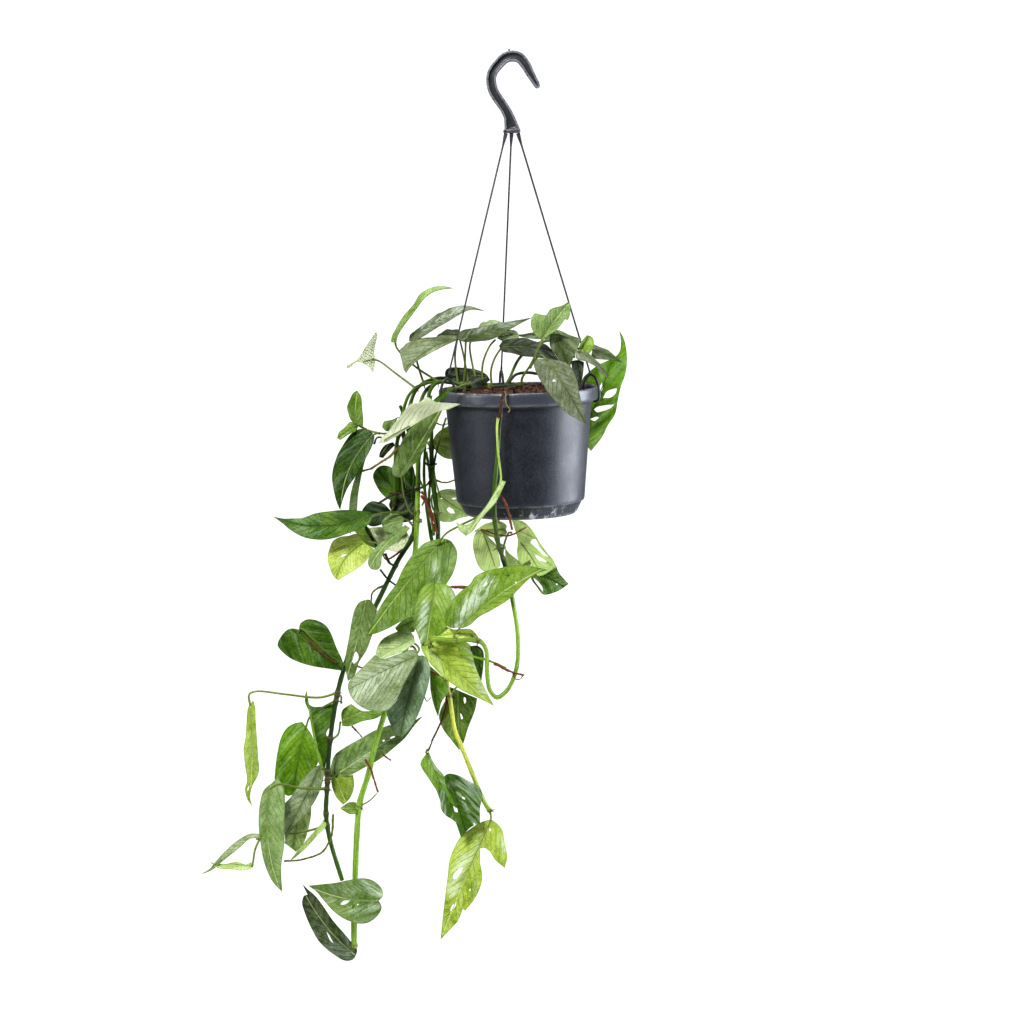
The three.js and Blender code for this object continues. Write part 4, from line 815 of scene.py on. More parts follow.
vine = Vine("vine_dark", "foliage_dark")
VINES.append(vine)
vine.stem((-50, 20), (2.5, 2.3), [
    (-68, 9, 14), (-82, 9, 12), (-98, 2, 11), (-107, -14, 11), (-109, -60, 11), (-104, -120, 10),
    (-104, -145, 8), (-120, -173, 2), (-130, -193, -2), (-146, -225, -4), (-168, -263, -4),
    (-173, -278, -4), (-180, -303, -4), (-188, -353, -2), (-191, -400, -2), (-192, -428, 0),
    (-188, -453, 0), (-176, -493, 0),
], [(0, "deep"), (0.12, "deep"), (0.2, "ink"), (0.34, "ink"), (0.4, "dark"), (0.64, "dark"), (0.7, "ink"),
    (0.8, "ink"), (0.85, "dark"), (1, "deep")])
vine.shoot([(-115, -40, 8), (-114, -62, 8), (-117, -84, 8), (-113, -106, 8)], 2.0, "ink")
vine.shoot([(-106, -50, 8), (-108, -70, 8), (-104, -90, 6), (-106, -112, 6)], 1.5, "deep")
vine.shoot([(-154, -136, 2), (-148, -148, 2), (-140, -160, 2)], 1.7, "ink")
vine.shoot([(-133, -166, -4), (-128, -176, -4), (-120, -179, -3)], 1.4, "ink")
vine.shoot([(-138, -182, -4), (-130, -192, -4), (-122, -198, -4)], 1.0, "ink")
vine.twig([(-112, -160, 6), (-132, -172, 10), (-136, -165, 10), (-142, -154, 6)])
vine.twig([(-134, -198, -2), (-145, -205, 2), (-147, -214, 4)], 1.1, "deep")
vine.twig([(-212, -250, -26), (-200, -262, -28), (-188, -272, -27), (-178, -277, -20)], 0.9)
vine.twig([(-170, -275, -8), (-162, -278, -10), (-154, -281, -12)], 1.2)
vine.twig([(-166, -339, -4), (-160, -345, -6), (-156, -350, -6)], 1.0, "bark")
vine.twig([(-185, -427, -6), (-187, -448, -8), (-196, -464, -8), (-216, -472, -6), (-234, -474, -4)],
    1.2, "deep")
vine.leaf("x1", (-116, -79, 9), (-111, -110, 10), 14, "dark",
    stalk=[(-109, -70, 11), (-114, -76, 10)],
    edge=[(-116, -79.5), (-109, -82.5), (-104, -92.5), (-104, -103.5), (-111, -110.5), (-116, -101.5),
        (-118, -90.5)])
# A leaf in shadow, given the darkest tone: painted shade
vine.leaf("x2", (-101, -109, 10), (-128, -117, 11), 22, "shade",
    stalk=[(-104, -120, 10), (-102, -112, 10)],
    edge=[(-126, -109.5), (-114, -104.5), (-102, -108.5), (-98, -118.5), (-105, -131.5), (-116, -134.5),
        (-124, -126.5), (-129, -117.5)])
vine.leaf("x3", (-114, -131, 2), (-136, -139, 1), 15, "sage",
    stalk=[(-104, -140, 8), (-110, -133, 4)],
    edge=[(-137, -134.5), (-130, -127.5), (-121, -125.5), (-114, -130.5), (-117, -140.5), (-127, -145.5),
        (-134, -142.5)])
# Its tone is paler to make up for c1's shadow on it: painted light
vine.leaf("x5", (-102, -232, -8), (-123, -242, -8), 14, "pale",
    stalk=[(-108, -244, -2), (-104, -236, -6)],
    edge=[(-123, -240.5), (-116, -233.5), (-110, -230.5), (-104, -228.5), (-102, -238.5), (-104, -244.5),
        (-113, -245.5), (-120, -244.5)])
vine.leaf("l1", (-147, -126, -14), (-245, -129, -24), 34, "deep", face=(0, -0.9, 0.5), bend=-0.15,
    stalk=[(-104, -121, 10), (-114, -125, 3), (-130, -125, -6)],
    edge=[(-245, -129), (-236, -131), (-226, -131), (-216, -130.5), (-203, -126), (-190, -124),
        (-173, -122.5), (-156, -123.5), (-147, -125), (-146, -130.5), (-149, -136.5), (-158, -141.5),
        (-169, -145.5), (-180, -149.5), (-192, -152), (-203, -152), (-215, -149.5), (-227, -143),
        (-236, -135.5)])
vine.leaf("l2", (-149, -153, -12), (-182, -192, -22), 43, "lemon", bend=0.12, face=(0, -1, 0.2),
    stalk=[(-136, -165, 10), (-141, -156, -4)],
    edge=[(-161, -146.5), (-170, -148.5), (-178, -149.5), (-185, -153.5), (-189, -162.5), (-190.5, -170.5),
        (-188, -181.5), (-184, -189.5), (-180, -193), (-172, -188), (-160, -180.5), (-152, -173.5),
        (-144, -161.5), (-153, -155.5)],
    cuts=[[(-177.5, -169.5), (-176, -167.5), (-172, -166.5), (-174, -169)]])
vine.leaf("l3", (-138, -160, 8), (-164, -128, 14), 26, "light",
    stalk=[(-134, -168, 10), (-137, -163, 9)],
    edge=[(-164, -143.5), (-159, -148.5), (-152, -156.5), (-142, -161.5), (-139, -157.5), (-145, -148.5),
        (-150, -139.5), (-158, -138.5)])
vine.leaf("l5", (-104, -146, 12), (-150, -162, 20), 32, "frost", face=(0.1, -1, 0.3),
    stalk=[(-105, -150, 7), (-104, -148, 10)],
    edge=[(-149, -140.5), (-138, -139.5), (-122, -142.5), (-112, -142.5), (-108, -152.5), (-110, -161.5),
        (-120, -164.5), (-133, -161.5), (-142, -155.5), (-148, -147.5)])
vine.leaf("d1", (-223, -244, -18), (-174, -284, -14), 50, "deep", face=(-0.1, -1, 0.2), fold=(4, 10),
    stalk=[(-173, -278, -4), (-186, -270, -24), (-206, -251, -26), (-217, -241, -22)],
    edge=[(-219, -242.5), (-218, -236.5), (-211, -232), (-200, -233.5), (-192, -238.5), (-187, -246.5),
        (-182, -259.5), (-175, -275.5), (-175, -283.5), (-188, -281.5), (-204, -279), (-217, -275.5),
        (-229, -270), (-238, -262), (-240.5, -257.5), (-238, -250.5), (-231, -242.5), (-225, -241)])
vine.leaf("d2", (-152, -213, -16), (-173, -296, -20), 28, "moss", face=(-0.5, -1, 0.2), bend=-0.05,
    stalk=[(-142, -224, -4), (-144, -220, -14), (-149, -213, -17)],
    edge=[(-150, -212), (-158, -214.5), (-163, -221.5), (-166, -232.5), (-169, -250.5), (-172, -266.5),
        (-173, -278.5), (-170, -293.5), (-164, -288.5), (-159, -274.5), (-152, -263.5), (-147, -250.5),
        (-141, -230.5), (-144, -218.5)],
    cuts=[[(-166, -274.5), (-165, -267.5), (-162, -264), (-159.5, -267.5), (-160, -272.5), (-164, -276.5)]])
vine.leaf("e1", (-268, -313, -12), (-269, -420, -10), 21, "young", face=(0.45, -0.9, 0.1), curl=14, wave=1.8,
    stalk=[(-180, -305, -4), (-198, -310, -6), (-232, -307, -12), (-262, -304, -14), (-269, -307, -13)],
    edge=[(-265, -313), (-270, -320.5), (-271.5, -334.5), (-272.5, -349.5), (-274.5, -361.5),
        (-273, -378.5), (-271, -393.5), (-273, -401.5), (-271, -411.5), (-266, -419), (-268, -409.5),
        (-266, -398.5), (-261, -389.5), (-259, -381.5), (-260, -370.5), (-261, -354.5), (-262.5, -334.5),
        (-263, -320.5)],
    cuts=[[(-271, -402), (-269.3, -398), (-268.8, -399.5), (-270.4, -404)]])
vine.leaf("e2", (-212, -338, 16), (-226, -412, 16), 44, "bright", face=(-0.1, -1, 0.15), fold=(4, 14),
    stalk=[(-182, -313, -4), (-195, -320, 6), (-208, -329, 14)],
    edge=[(-216, -334.5), (-225, -336.5), (-232, -341.5), (-237, -350.5), (-240.5, -364.5), (-243, -384.5),
        (-243, -394.5), (-237, -403.5), (-230, -408.5), (-222, -404.5), (-213, -393.5), (-204, -382.5),
        (-200, -373.5), (-202, -359.5), (-207, -346.5)])
vine.leaf("e3", (-176, -312, 6), (-194, -386, 8), 60, "deep", split=0.2, fold=4, curl=6,
    face=(-0.2, -1, 0.2),
    stalk=[(-181, -308, -4), (-177, -309, 3)],
    edge=[(-181, -314.5), (-190, -318), (-200, -319.5), (-206, -319), (-210, -315.5), (-212, -302.5),
        (-213, -314.5), (-208, -326.5), (-204, -344.5), (-199, -364.5), (-193, -380.5), (-190, -362.5),
        (-187, -342.5), (-184, -326.5)],
    cuts=[[(-192, -347.5), (-190.5, -342.5), (-188.5, -340.5), (-188.5, -345.5), (-190, -349.5)]])
vine.leaf("e3_edge", (-193, -385, 2), (-212, -298, 2), 12, "light", face=(0.9, -0.6, 0.1), fold=20,
    stalk=[(-190, -392, -2), (-193, -388, 1)],
    edge=[(-212, -302.5), (-209, -317.5), (-205, -337.5), (-200, -361.5), (-193, -380.5), (-199, -376.5),
        (-203, -358.5), (-208, -332.5)])
vine.leaf("e4", (-180, -335, 8), (-135, -317, 14), 30, "mid", face=(0, -0.9, 0.5),
    stalk=[(-186, -352, -2), (-180, -347, 5)],
    edge=[(-176, -323.5), (-167, -316.5), (-156, -323.5), (-144, -323.5), (-132, -323.5), (-141, -330.5),
        (-156, -334), (-169, -339), (-176, -338.5)])
vine.leaf("e5", (-183, -388, 12), (-96, -331, 16), 34, "sage", face=(0.1, -1, 0.3),
    gleams=[(-173, -380.5, -133, -357.5, 7, 0.25)],
    stalk=[(-190, -394, -1), (-186, -390, 7)],
    edge=[(-188, -390.5), (-187, -378.5), (-183, -367.5), (-173, -360), (-158, -351.5), (-144, -343.5),
        (-128, -337.5), (-121, -347.5), (-114, -345.5), (-105, -334.5), (-95, -328.5), (-104, -338.5),
        (-113, -350.5), (-123, -359.5), (-138, -371.5), (-154, -380.5), (-170, -388.5)],
    cuts=[
        [(-136, -353), (-134, -352), (-133, -353.5), (-135, -354.5)],
        [(-128, -350), (-124, -348.5), (-123, -349.7), (-127, -351.5)],
    ])
vine.leaf("e6", (-197, -378, 6), (-238, -456, 0), 30, "silver", face=(0.3, -1, 0.3),
    stalk=[(-190, -384, -2), (-194, -381, 4)],
    edge=[(-193, -379.5), (-198, -377.5), (-210, -385.5), (-219, -397.5), (-228, -410.5), (-234, -417.5),
        (-234, -434.5), (-233, -453.5), (-225, -440.5), (-213, -427.5), (-202, -411.5), (-196, -396.5)])
vine.leaf("e7", (-247, -396, -16), (-235, -509, -20), 27, "sage", bend=0.06, face=(-0.3, -1, 0.2), fold=8,
    stalk=[(-191, -401, -2), (-215, -401, -12), (-240, -397, -18)],
    edge=[(-246, -395.5), (-254, -402.5), (-258, -415.5), (-259.5, -434.5), (-258, -452.5), (-254, -474.5),
        (-246, -493.5), (-236, -504.5), (-237, -480.5), (-234, -457.5), (-233.5, -430.5), (-234, -402.5),
        (-240, -389.5)])
vine.leaf("e8", (-259, -450, -2), (-319, -490, -4), 18, "silver", face=(-0.3, -0.7, 0.6), fold=10, curl=8,
    bow=0.03,
    stalk=[(-190, -438, 0), (-222, -446, 4), (-250, -446, 0)],
    edge=[(-259, -446.5), (-268, -446.5), (-278, -451.5), (-290, -461), (-301, -472.5), (-308, -481),
        (-318, -487.5), (-306, -482.5), (-294, -472.5), (-280, -461.5), (-268, -451.5), (-258, -451)])
vine.leaf("e9", (-264, -480, 0), (-309, -478, -2), 18, "pale", face=(0, -0.3, 0.95),
    stalk=[(-256, -447, 0), (-263, -462, 0), (-265, -474, 0)],
    edge=[(-264, -477.5), (-268, -475), (-272, -477.5), (-281, -474.5), (-294, -477), (-308, -475),
        (-301, -480.5), (-286, -482), (-274, -483), (-267, -481)])
vine.leaf("e10", (-216, -402, 14), (-226, -468, 12), 26, "pale", face=(0.1, -1, 0.2),
    stalk=[(-191, -402, -1), (-204, -402, 9)],
    edge=[(-215, -401.5), (-208, -412.5), (-207, -424.5), (-210, -442.5), (-215, -456.5), (-222, -464.5),
        (-234, -455.5), (-229, -444.5), (-228, -427.5), (-223, -409.5)])
vine.leaf("e11", (-193, -433, 4), (-226, -473, 2), 14, "pale", face=(-0.5, -0.5, 0.7), fold=40,
    stalk=[(-191, -426, 0), (-192, -430, 3)],
    edge=[(-193, -432.5), (-205, -445.5), (-218, -460.5), (-229, -474.5), (-216, -464.5), (-201, -448.5),
        (-192, -438.5)])
vine.leaf("e12", (-184, -386, 10), (-170, -420, 12), 28, "young",
    stalk=[(-188, -388, 8), (-186, -387, 9)],
    edge=[(-187, -390.5), (-176, -389.5), (-165, -387.5), (-164, -398.5), (-168, -410.5), (-175, -417.5),
        (-182, -409.5), (-186, -399.5)])

# The vine furthest to the left

vine = Vine("vine_left", "foliage_green")
VINES.append(vine)
vine.stem((-46, -4), (2.3, 1.8), [
    (-62, 4, -6), (-80, 6, -5), (-96, 3, -6), (-108, -6, -8), (-114, -20, -8), (-118, -40, -6),
    (-122, -62, -4), (-123, -90, 2), (-124, -118, 6),
], [(0, "slate"), (0.2, "deep"), (1, "deep")])
vine.shoot([(-140, -116, -2), (-124, -107, -3), (-103, -102, -4), (-92, -98, -5), (-87, -92, -6)],
    1.1, "bark")
vine.shoot([(-118, -18, -8), (-112, -36, -6), (-108, -58, -2), (-110, -84, 0)], 1.5, "dark")
vine.twig([(-118, -58, -5), (-128, -68, -4), (-137, -74, -5), (-146, -80, -6), (-157, -84, -6)], 1.5, "tan")
vine.twig([(-114, -24, -8), (-106, -34, -12), (-96, -32, -14)])
vine.leaf("x4", (-62, 0, -68), (-86, -14, -62), 10, "deep",
    stalk=[(-48, 4, -50), (-56, 2, -62)],
    edge=[(-62, -0.5), (-68, -4.5), (-73, -10.5), (-80, -14.5), (-87, -14.5), (-80, -8.5), (-72, -2.5),
        (-66, 0.5)])
vine.leaf("t1", (-125, 45, -7), (-65, 101, -4), 22, "sage", bend=0.0, face=(-0.6, -0.5, 0.6), bow=0.12,
    fold=10, curl=12,
    stalk=[(-80, 6, -5), (-104, 22, -7), (-122, 41, -8)],
    edge=[(-127, 45.5), (-126, 51.5), (-123, 57.5), (-118, 66.5), (-113, 73.5), (-105, 82.5), (-98, 93.5),
        (-92, 97.5), (-85, 100.5), (-76, 101.5), (-65, 99.5), (-77, 98), (-85, 95.5), (-91, 91.5),
        (-96, 86.5), (-101, 79.5), (-107, 71.5), (-113, 63.5), (-120, 52.5), (-122, 44.5)])
vine.leaf("t2", (-109, 48, 2), (-34, 77, 2), 22, "ash", face=(-0.3, -0.5, 0.8), bow=0.1, fold=(22, 10),
    gleams=[(-94, 59.5, -58, 79.5, 5, 0.4)],
    stalk=[(-94, 3, -6), (-100, 22, -3), (-105, 42, 1)],
    edge=[(-109, 46.5), (-108, 52.5), (-102, 57.5), (-94, 63.5), (-86, 69.5), (-78, 75.5), (-68, 79.5),
        (-56, 82), (-48, 81.5), (-33, 76.5), (-46, 78), (-54, 75.5), (-63, 70.5), (-71, 65.5), (-80, 60.5),
        (-88, 55.5), (-96, 50.5), (-105, 46.5)])
vine.leaf("m1", (-143, 29, -6), (-169, 20, -42), 40, "frost", split=0.64, face=(-0.78, 0.62, 0.1), fold=4,
    stalk=[(-102, -1, -7), (-122, 14, -7), (-138, 26, -6)],
    edge=[(-142, 56.5), (-141, 52.5), (-143, 42.5), (-144, 35.5), (-143, 25.5), (-145, 15.5), (-149, 20.5),
        (-157, 25), (-164, 24.5), (-167, 20.5), (-171, 19.5), (-171, 22.5), (-166, 24.5), (-160, 29.5),
        (-154, 38.5), (-148, 47.5)])
vine.leaf("m2", (-163, -38, -10), (-161, -6, -22), 20, "mid", face=(-0.3, -1, 0.1),
    stalk=[(-138, -46, -13), (-152, -42, -10)],
    edge=[(-155, -38.5), (-162, -36.5), (-167, -32.5), (-170, -24.5), (-171, -19.5), (-168, -11.5),
        (-165, -5.5), (-161, -3), (-157, -9.5), (-156, -20.5), (-155, -30.5)])
vine.leaf("m3", (-164, -39, -10), (-179, -52, -18), 14, "mid", face=(0.2, -1, 0.4),
    stalk=[(-152, -42, -10), (-160, -38, -10)],
    edge=[(-160, -38.5), (-162, -43.5), (-169, -46.5), (-174, -50), (-178, -52.5), (-181, -50.5),
        (-179, -44.5), (-174, -40.5), (-168, -34.5), (-163, -35.5)])
vine.leaf("m4", (-146, -48, -14), (-177, -125, -22), 38, "dark", bend=0.09, face=(-0.25, -1, 0.2),
    fold=(10, 6),
    stalk=[(-118, -42, -6), (-132, -46, -12), (-142, -46, -14)],
    edge=[(-144, -47.5), (-151, -42.5), (-158, -41.5), (-166, -45.5), (-173, -54.5), (-180, -66.5),
        (-184, -77.5), (-186, -89.5), (-184, -104.5), (-181, -115.5), (-178, -122.5), (-175.5, -112.5),
        (-170, -99.5), (-163, -89.5), (-157, -78.5), (-150, -66.5), (-145, -55.5)])
vine.leaf("m5", (-143, -52, -8), (-166, -140, 6), 17, "sage", face=(0.6, -0.8, 0.1), curl=10,
    stalk=[(-120, -48, -5), (-134, -50, -6), (-141, -50, -6)],
    edge=[(-145, -52.5), (-154, -66.5), (-158, -79.5), (-163, -90.5), (-167, -104.5), (-169, -122.5),
        (-168, -147.5), (-162, -127.5), (-160, -106.5), (-157, -89.5), (-153, -72.5), (-148, -60.5)])
vine.leaf("m6", (-136, -54, -40), (-59, -18, -72), 32, "frost", face=(0.1, 0.85, 0.5), fold=4,
    stalk=[(-119, -46, -6), (-128, -50, -24), (-135, -53, -37)],
    edge=[(-139, -55.5), (-137, -50.5), (-131, -45.5), (-125, -37.5), (-119, -30.5), (-114, -23.5),
        (-106, -15.5), (-97, -10.5), (-90, -10), (-82, -14.5), (-71, -15.5), (-58, -16.5), (-69, -21.5),
        (-80, -24), (-91, -29.5), (-103, -36.5), (-114, -43.5), (-126, -51.5), (-134, -55.5)])
vine.leaf("m7", (-117, -32, -18), (-138, -31, -26), 13, "sage",
    stalk=[(-116, -30, -8), (-117, -32, -14)],
    edge=[(-120, -29.5), (-127, -42.5), (-132, -43.5), (-136, -39.5), (-134, -34), (-127, -32.5)])
vine.leaf("m10", (-114, -112, 16), (-143, -78, 16), 31, "deep", face=(-0.2, -1, 0.1),
    stalk=[(-123, -106, 4), (-118, -112, 12)],
    edge=[(-144, -84.5), (-138, -78.5), (-130, -78.5), (-122, -83.5), (-116, -94.5), (-113, -102.5),
        (-119, -114.5), (-128, -112.5), (-136, -106.5), (-142, -97.5), (-145, -89.5)])
vine.leaf("m11", (-122, -46, 4), (-140, -72, 8), 14, "slate",
    stalk=[(-119, -44, -6), (-121, -45, 0)],
    edge=[(-125, -54.5), (-133, -57.5), (-138, -64.5), (-139, -69.5), (-135, -70.5), (-129, -63.5),
        (-123, -57.5)])
vine.leaf("m12", (-126, -124, 8), (-160, -133, 6), 28, "ink", face=(-0.1, -1, 0.3),
    stalk=[(-124, -116, 5), (-125, -121, 7)],
    edge=[(-156, -123.5), (-152, -117.5), (-147, -114), (-140, -114.5), (-134, -116.5), (-127, -123.5),
        (-130, -131.5), (-138, -137.5), (-148, -138.5), (-155, -129.5)])

# The leaves in the middle of the crown

vine = Vine("crown_middle", "foliage_grey")
VINES.append(vine)
vine.stem((-4, -22), (2.2, 2), [
    (4, 3, -22), (-12, 2, -18), (-26, 1, -14),
], [(0, "slate"), (1, "slate")])
vine.leaf("t9", (-20, 40, -14), (44, 33, -22), 29, "shade", face=(0, -0.62, 0.78), bow=0.08,
    stalk=[(-26, -1, -14), (-27, 17, -14), (-23, 30, -13)],
    edge=[(-19, 41.5), (-15, 46.5), (-8, 48.5), (7, 49.5), (16, 46.5), (27, 43.5), (34, 37.5), (38, 31.5),
        (42, 26.5), (31, 28.5), (17, 30.5), (5, 31.5), (-6, 34.5), (-16, 36.5)])
vine.leaf("t11", (23, 47, -38), (52, 85, -32), 32, "sage", split=0.42, face=(-0.3, -0.9, 0.3), fold=(30, 16),
    stalk=[(4, 1, -22), (4, 9, -28), (12, 22, -36), (20, 38, -40)],
    edge=[(25, 47.5), (19, 50.5), (15, 56.5), (13, 62.5), (14, 70.5), (17, 74.5), (23, 73), (28, 72.5),
        (32, 78), (38, 80.5), (44, 82), (51, 86.5), (52.5, 80.5), (52, 73.5), (50, 67.5), (47, 68.5),
        (42, 61.5), (36, 55.5), (30, 51.5)])
vine.leaf("t13", (27, 30, -56), (68, -37, -90), 42, "ash", face=(0.1, -0.95, 0.35), bow=0.08, fold=4,
    stalk=[(12, 20, -35), (19, 30, -46), (24, 32, -54)],
    edge=[(16, 23.5), (19, 28.5), (28, 28.5), (39, 27.5), (50, 23.5), (55, 17.5), (59, 6.5), (62, -8.5),
        (66, -23.5), (69, -36.5), (59, -31.5), (49, -25.5), (40, -16.5), (32, -7.5), (26, 1.5), (20, 11.5)],
    cuts=[[(34.5, 7.5), (36, 8.7), (38, 7), (37, 4.9), (35, 5.1)]])

# The leaves on the right of the crown

vine = Vine("crown_right", "foliage_grey")
VINES.append(vine)
vine.stem((-12, -4), (2.2, 1.8), [
    (-9, 8, -5), (2, 30, 0), (22, 45, 4), (44, 47, 4), (60, 41, 2),
], [(0, "moss"), (1, "moss")])
vine.leaf("t10", (58, 46, 14), (-8, 53, 22), 18, "dusk", face=(0, -0.75, 0.65), curl=8,
    stalk=[(54, 44, 3), (58, 46, 10)],
    edge=[(-3, 52.5), (6, 53.5), (16, 55.5), (28, 58), (42, 57), (52, 52.5), (64, 48.5), (52, 46.5),
        (38, 47.5), (24, 48.5), (10, 49.5)])
vine.leaf("t12", (38, 54, -26), (51, 19, -34), 34, "dusk", face=(0.1, -0.95, 0.3), fold=12,
    stalk=[(36, 47, 4), (35, 53, -10), (36, 55, -22)],
    edge=[(32, 53.5), (40, 53.5), (49, 50.5), (63, 49.5), (61, 42.5), (56, 31.5), (53, 23.5), (51, 17.5),
        (44, 24.5), (37, 33.5), (32, 41.5)])
vine.leaf("t14", (56, 32, -17), (63, -2, -22), 18, "shade", face=(0.4, -0.9, 0.2),
    stalk=[(58, 42, 2), (56, 38, -9)],
    edge=[(53, 26.5), (60, 27.5), (66, 25.5), (65, 13.5), (62, -0.5), (57, 6.5)])
vine.leaf("t15", (57, 37, -30), (89, 11, -44), 13, "ash", face=(0.3, -0.6, 0.75), bow=0.12,
    stalk=[(56, 40, -10), (56, 38, -22)],
    edge=[(57, 35.5), (61, 38), (67, 36.5), (77, 28.5), (86, 19.5), (91, 8.5), (85, 13.5), (77, 21.5),
        (67, 26.5), (59, 28.5)])
vine.leaf("t16", (62, 36, -36), (72, 54, -36), 17, "light", face=(0.2, -1, 0), fold=48,
    stalk=[(56, 38, -22), (59, 36, -31)],
    edge=[(61, 40.5), (64, 46.5), (69, 52.5), (74, 50.5), (76, 45.5), (75, 39.5), (71, 33.5), (66, 36.5)])
vine.leaf("t17", (66, 39, -24), (102, 26, -28), 17, "dusk", face=(0.1, -0.65, 0.75),
    stalk=[(56, 39, -14), (61, 39, -20)],
    edge=[(75, 43.5), (82, 40.5), (90, 37.5), (98, 30.5), (104, 25.5), (93, 27.5), (80, 28.5), (73, 29.5)])

# The shoot with large split leaves behind the pot

vine = Vine("shoot_back", "foliage_green")
VINES.append(vine)
vine.stem((-8, 46), (2.2, 1.9), [
    (-2, 13, 52), (10, 15, 56), (24, 13, 60), (42, 11, 64), (56, 4, 70), (62, -16, 74), (64, -52, 72),
], [(0, "bark"), (0.25, "slate"), (1, "mid")])
vine.leaf("t18", (50, -68, 66), (102, 56, 50), 42, "bright", face=(0.15, -1, 0.15), bend=0.03, fold=(14, 6),
    stalk=[(64, -52, 72), (58, -64, 70)],
    edge=[(73, -63.5), (65, -52.5), (62, -22.5), (64, 7.5), (72, 16.5), (82, 23.5), (93, 28.5), (101, 34.5),
        (103, 44.5), (101.5, 57), (106, 48.5), (108.5, 36.5), (109, 25.5), (107, 12.5), (103, 1.5),
        (100, -11.5), (97, -26.5), (90, -37.5), (84, -49.5)],
    cuts=[
        [(85, -10.5), (89, -4), (99, -0.5), (98, -5.5), (93, -10)],
        [(76, -22), (79, -19.5), (88, -17.5), (96.5, -16.5), (93, -20), (84, -23.5), (79, -24.5)],
        [(72, -31.5), (79, -29), (81, -30), (77, -33.5)],
        [(82, -5.5), (82, 1.5), (84, 5.5), (84.5, -1.5)],
    ])
vine.leaf("b1", (40, -14, 88), (16, -92, 96), 42, "deep", face=(-0.1, 1, 0.3),
    stalk=[(42, 11, 64), (42, 10, 78), (41, -4, 88)])
vine.leaf("b2", (52, -64, 82), (40, -128, 84), 34, "mid", face=(0.4, 1, 0.2),
    stalk=[(63, -46, 72), (58, -50, 80)])

# Leaf meshes

def half_outline(leaf, sign):
    """One half's margin from the foot to the tip, as smooth (along, across) points"""
    half = leaf.halves[0 if sign < 0 else 1]
    corners = [np.array([share * leaf.length, sign * out * half, 0]) for share, out in OUTLINES[leaf.kind]]
    line = smooth_line(corners, LEAF_GRID)[:, :2]
    line[:, 1] = np.where(sign * line[:, 1] < 0, 0, line[:, 1])
    return line


def blade_outline(leaf):
    """The margin of a blade and those of its holes, as flat (along, across) points"""
    if leaf.edge:
        outline = leaf.flattened(smooth_loop(leaf.edge, EDGE_STEP))
        return outline, [leaf.flattened(smooth_loop(cut, CUT_STEP)) for cut in leaf.cuts]
    left = half_outline(leaf, -1)
    right = half_outline(leaf, 1)
    return np.vstack([right, left[-2:0:-1]]), []


def midrib_line(leaf, outline):
    """The midrib's flat points that lie well inside the blade's margin"""
    steps = max(4, round(leaf.length / LEAF_GRID))
    line = np.stack([np.linspace(0, leaf.length, steps + 1), np.zeros(steps + 1)], axis=1)
    return line[inside(line, outline) & (gap_to(line, outline) > 0.4 * LEAF_GRID)]


def inside(points, outline):
    """Which points lie inside a closed outline"""
    found = np.zeros(len(points), bool)
    for a, b in zip(outline, np.roll(outline, -1, axis=0)):
        crosses = (a[1] > points[:, 1]) != (b[1] > points[:, 1])
        rise = (points[:, 1] - a[1]) / (b[1] - a[1] + 1e-12)
        found ^= crosses & (points[:, 0] < a[0] + rise * (b[0] - a[0]))
    return found


def gap_to_bar(points, start, end):
    """How far points are from a straight bar"""
    start = np.array(start, float)
    run = np.array(end, float) - start
    share = np.clip((points - start) @ run / max(run @ run, 1e-9), 0, 1)
    return np.linalg.norm(points - start - share[:, None] * run, axis=1)


def gap_to(points, outline):
    """How far points are from a closed outline"""
    sides = zip(outline, np.roll(outline, -1, axis=0))
    return np.min([gap_to_bar(points, start, end) for start, end in sides], axis=0)


def hexagonal(low, high, spacing):
    """Evenly spaced points in a rectangle, each row shifted by half a step"""
    rows = np.arange(low[1], high[1], spacing * 0.866)
    columns = np.arange(low[0], high[0], spacing)
    x = columns[None, :] + np.where(np.arange(len(rows)) % 2, spacing / 2, 0)[:, None]
    y = np.repeat(rows[:, None], len(columns), axis=1)
    return np.stack([x.ravel(), y.ravel()], axis=1)


def flat_sheet(outline, holes, lines, spacing):
    """Triangles that fill an outline around its holes, as (points, triangles), with edges on the lines"""
    grid = hexagonal(outline.min(axis=0), outline.max(axis=0), spacing)
    clear = inside(grid, outline) & (gap_to(grid, outline) > CROWDED * spacing)
    for line in lines:
        if len(line) > 1:
            clear &= gap_to(grid, line) > CROWDED * spacing
    for hole in holes:
        clear &= ~inside(grid, hole) & (gap_to(grid, hole) > CROWDED * spacing)
    points = []
    edges = []
    loops = [(loop, True) for loop in (outline, *holes)] + [(line, False) for line in lines]
    for loop, closed in loops:
        if len(loop) < 2:
            continue
        first = len(points)
        points += loop.tolist()
        last = len(loop) if closed else len(loop) - 1
        edges += [(first + i, first + (i + 1) % len(loop)) for i in range(last)]
    points += grid[clear].tolist()
    found = delaunay_2d_cdt([Vector(p) for p in points], edges, [], 0, 1e-4)
    places = np.array([tuple(p) for p in found[0]])
    triangles = np.array([tuple(t) for t in found[2]])
    middles = places[triangles].mean(axis=1)
    keep = inside(middles, outline)
    for hole in holes:
        keep &= ~inside(middles, hole)
    return places, triangles[keep]


def rim_edges(triangles):
    """The edges that only one triangle has, in that triangle's direction"""
    edges = np.vstack([triangles[:, [0, 1]], triangles[:, [1, 2]], triangles[:, [2, 0]]])
    pairs = np.sort(edges, axis=1)
    _, index, counts = np.unique(pairs, axis=0, return_inverse=True, return_counts=True)
    return edges[counts[index.ravel()] == 1]


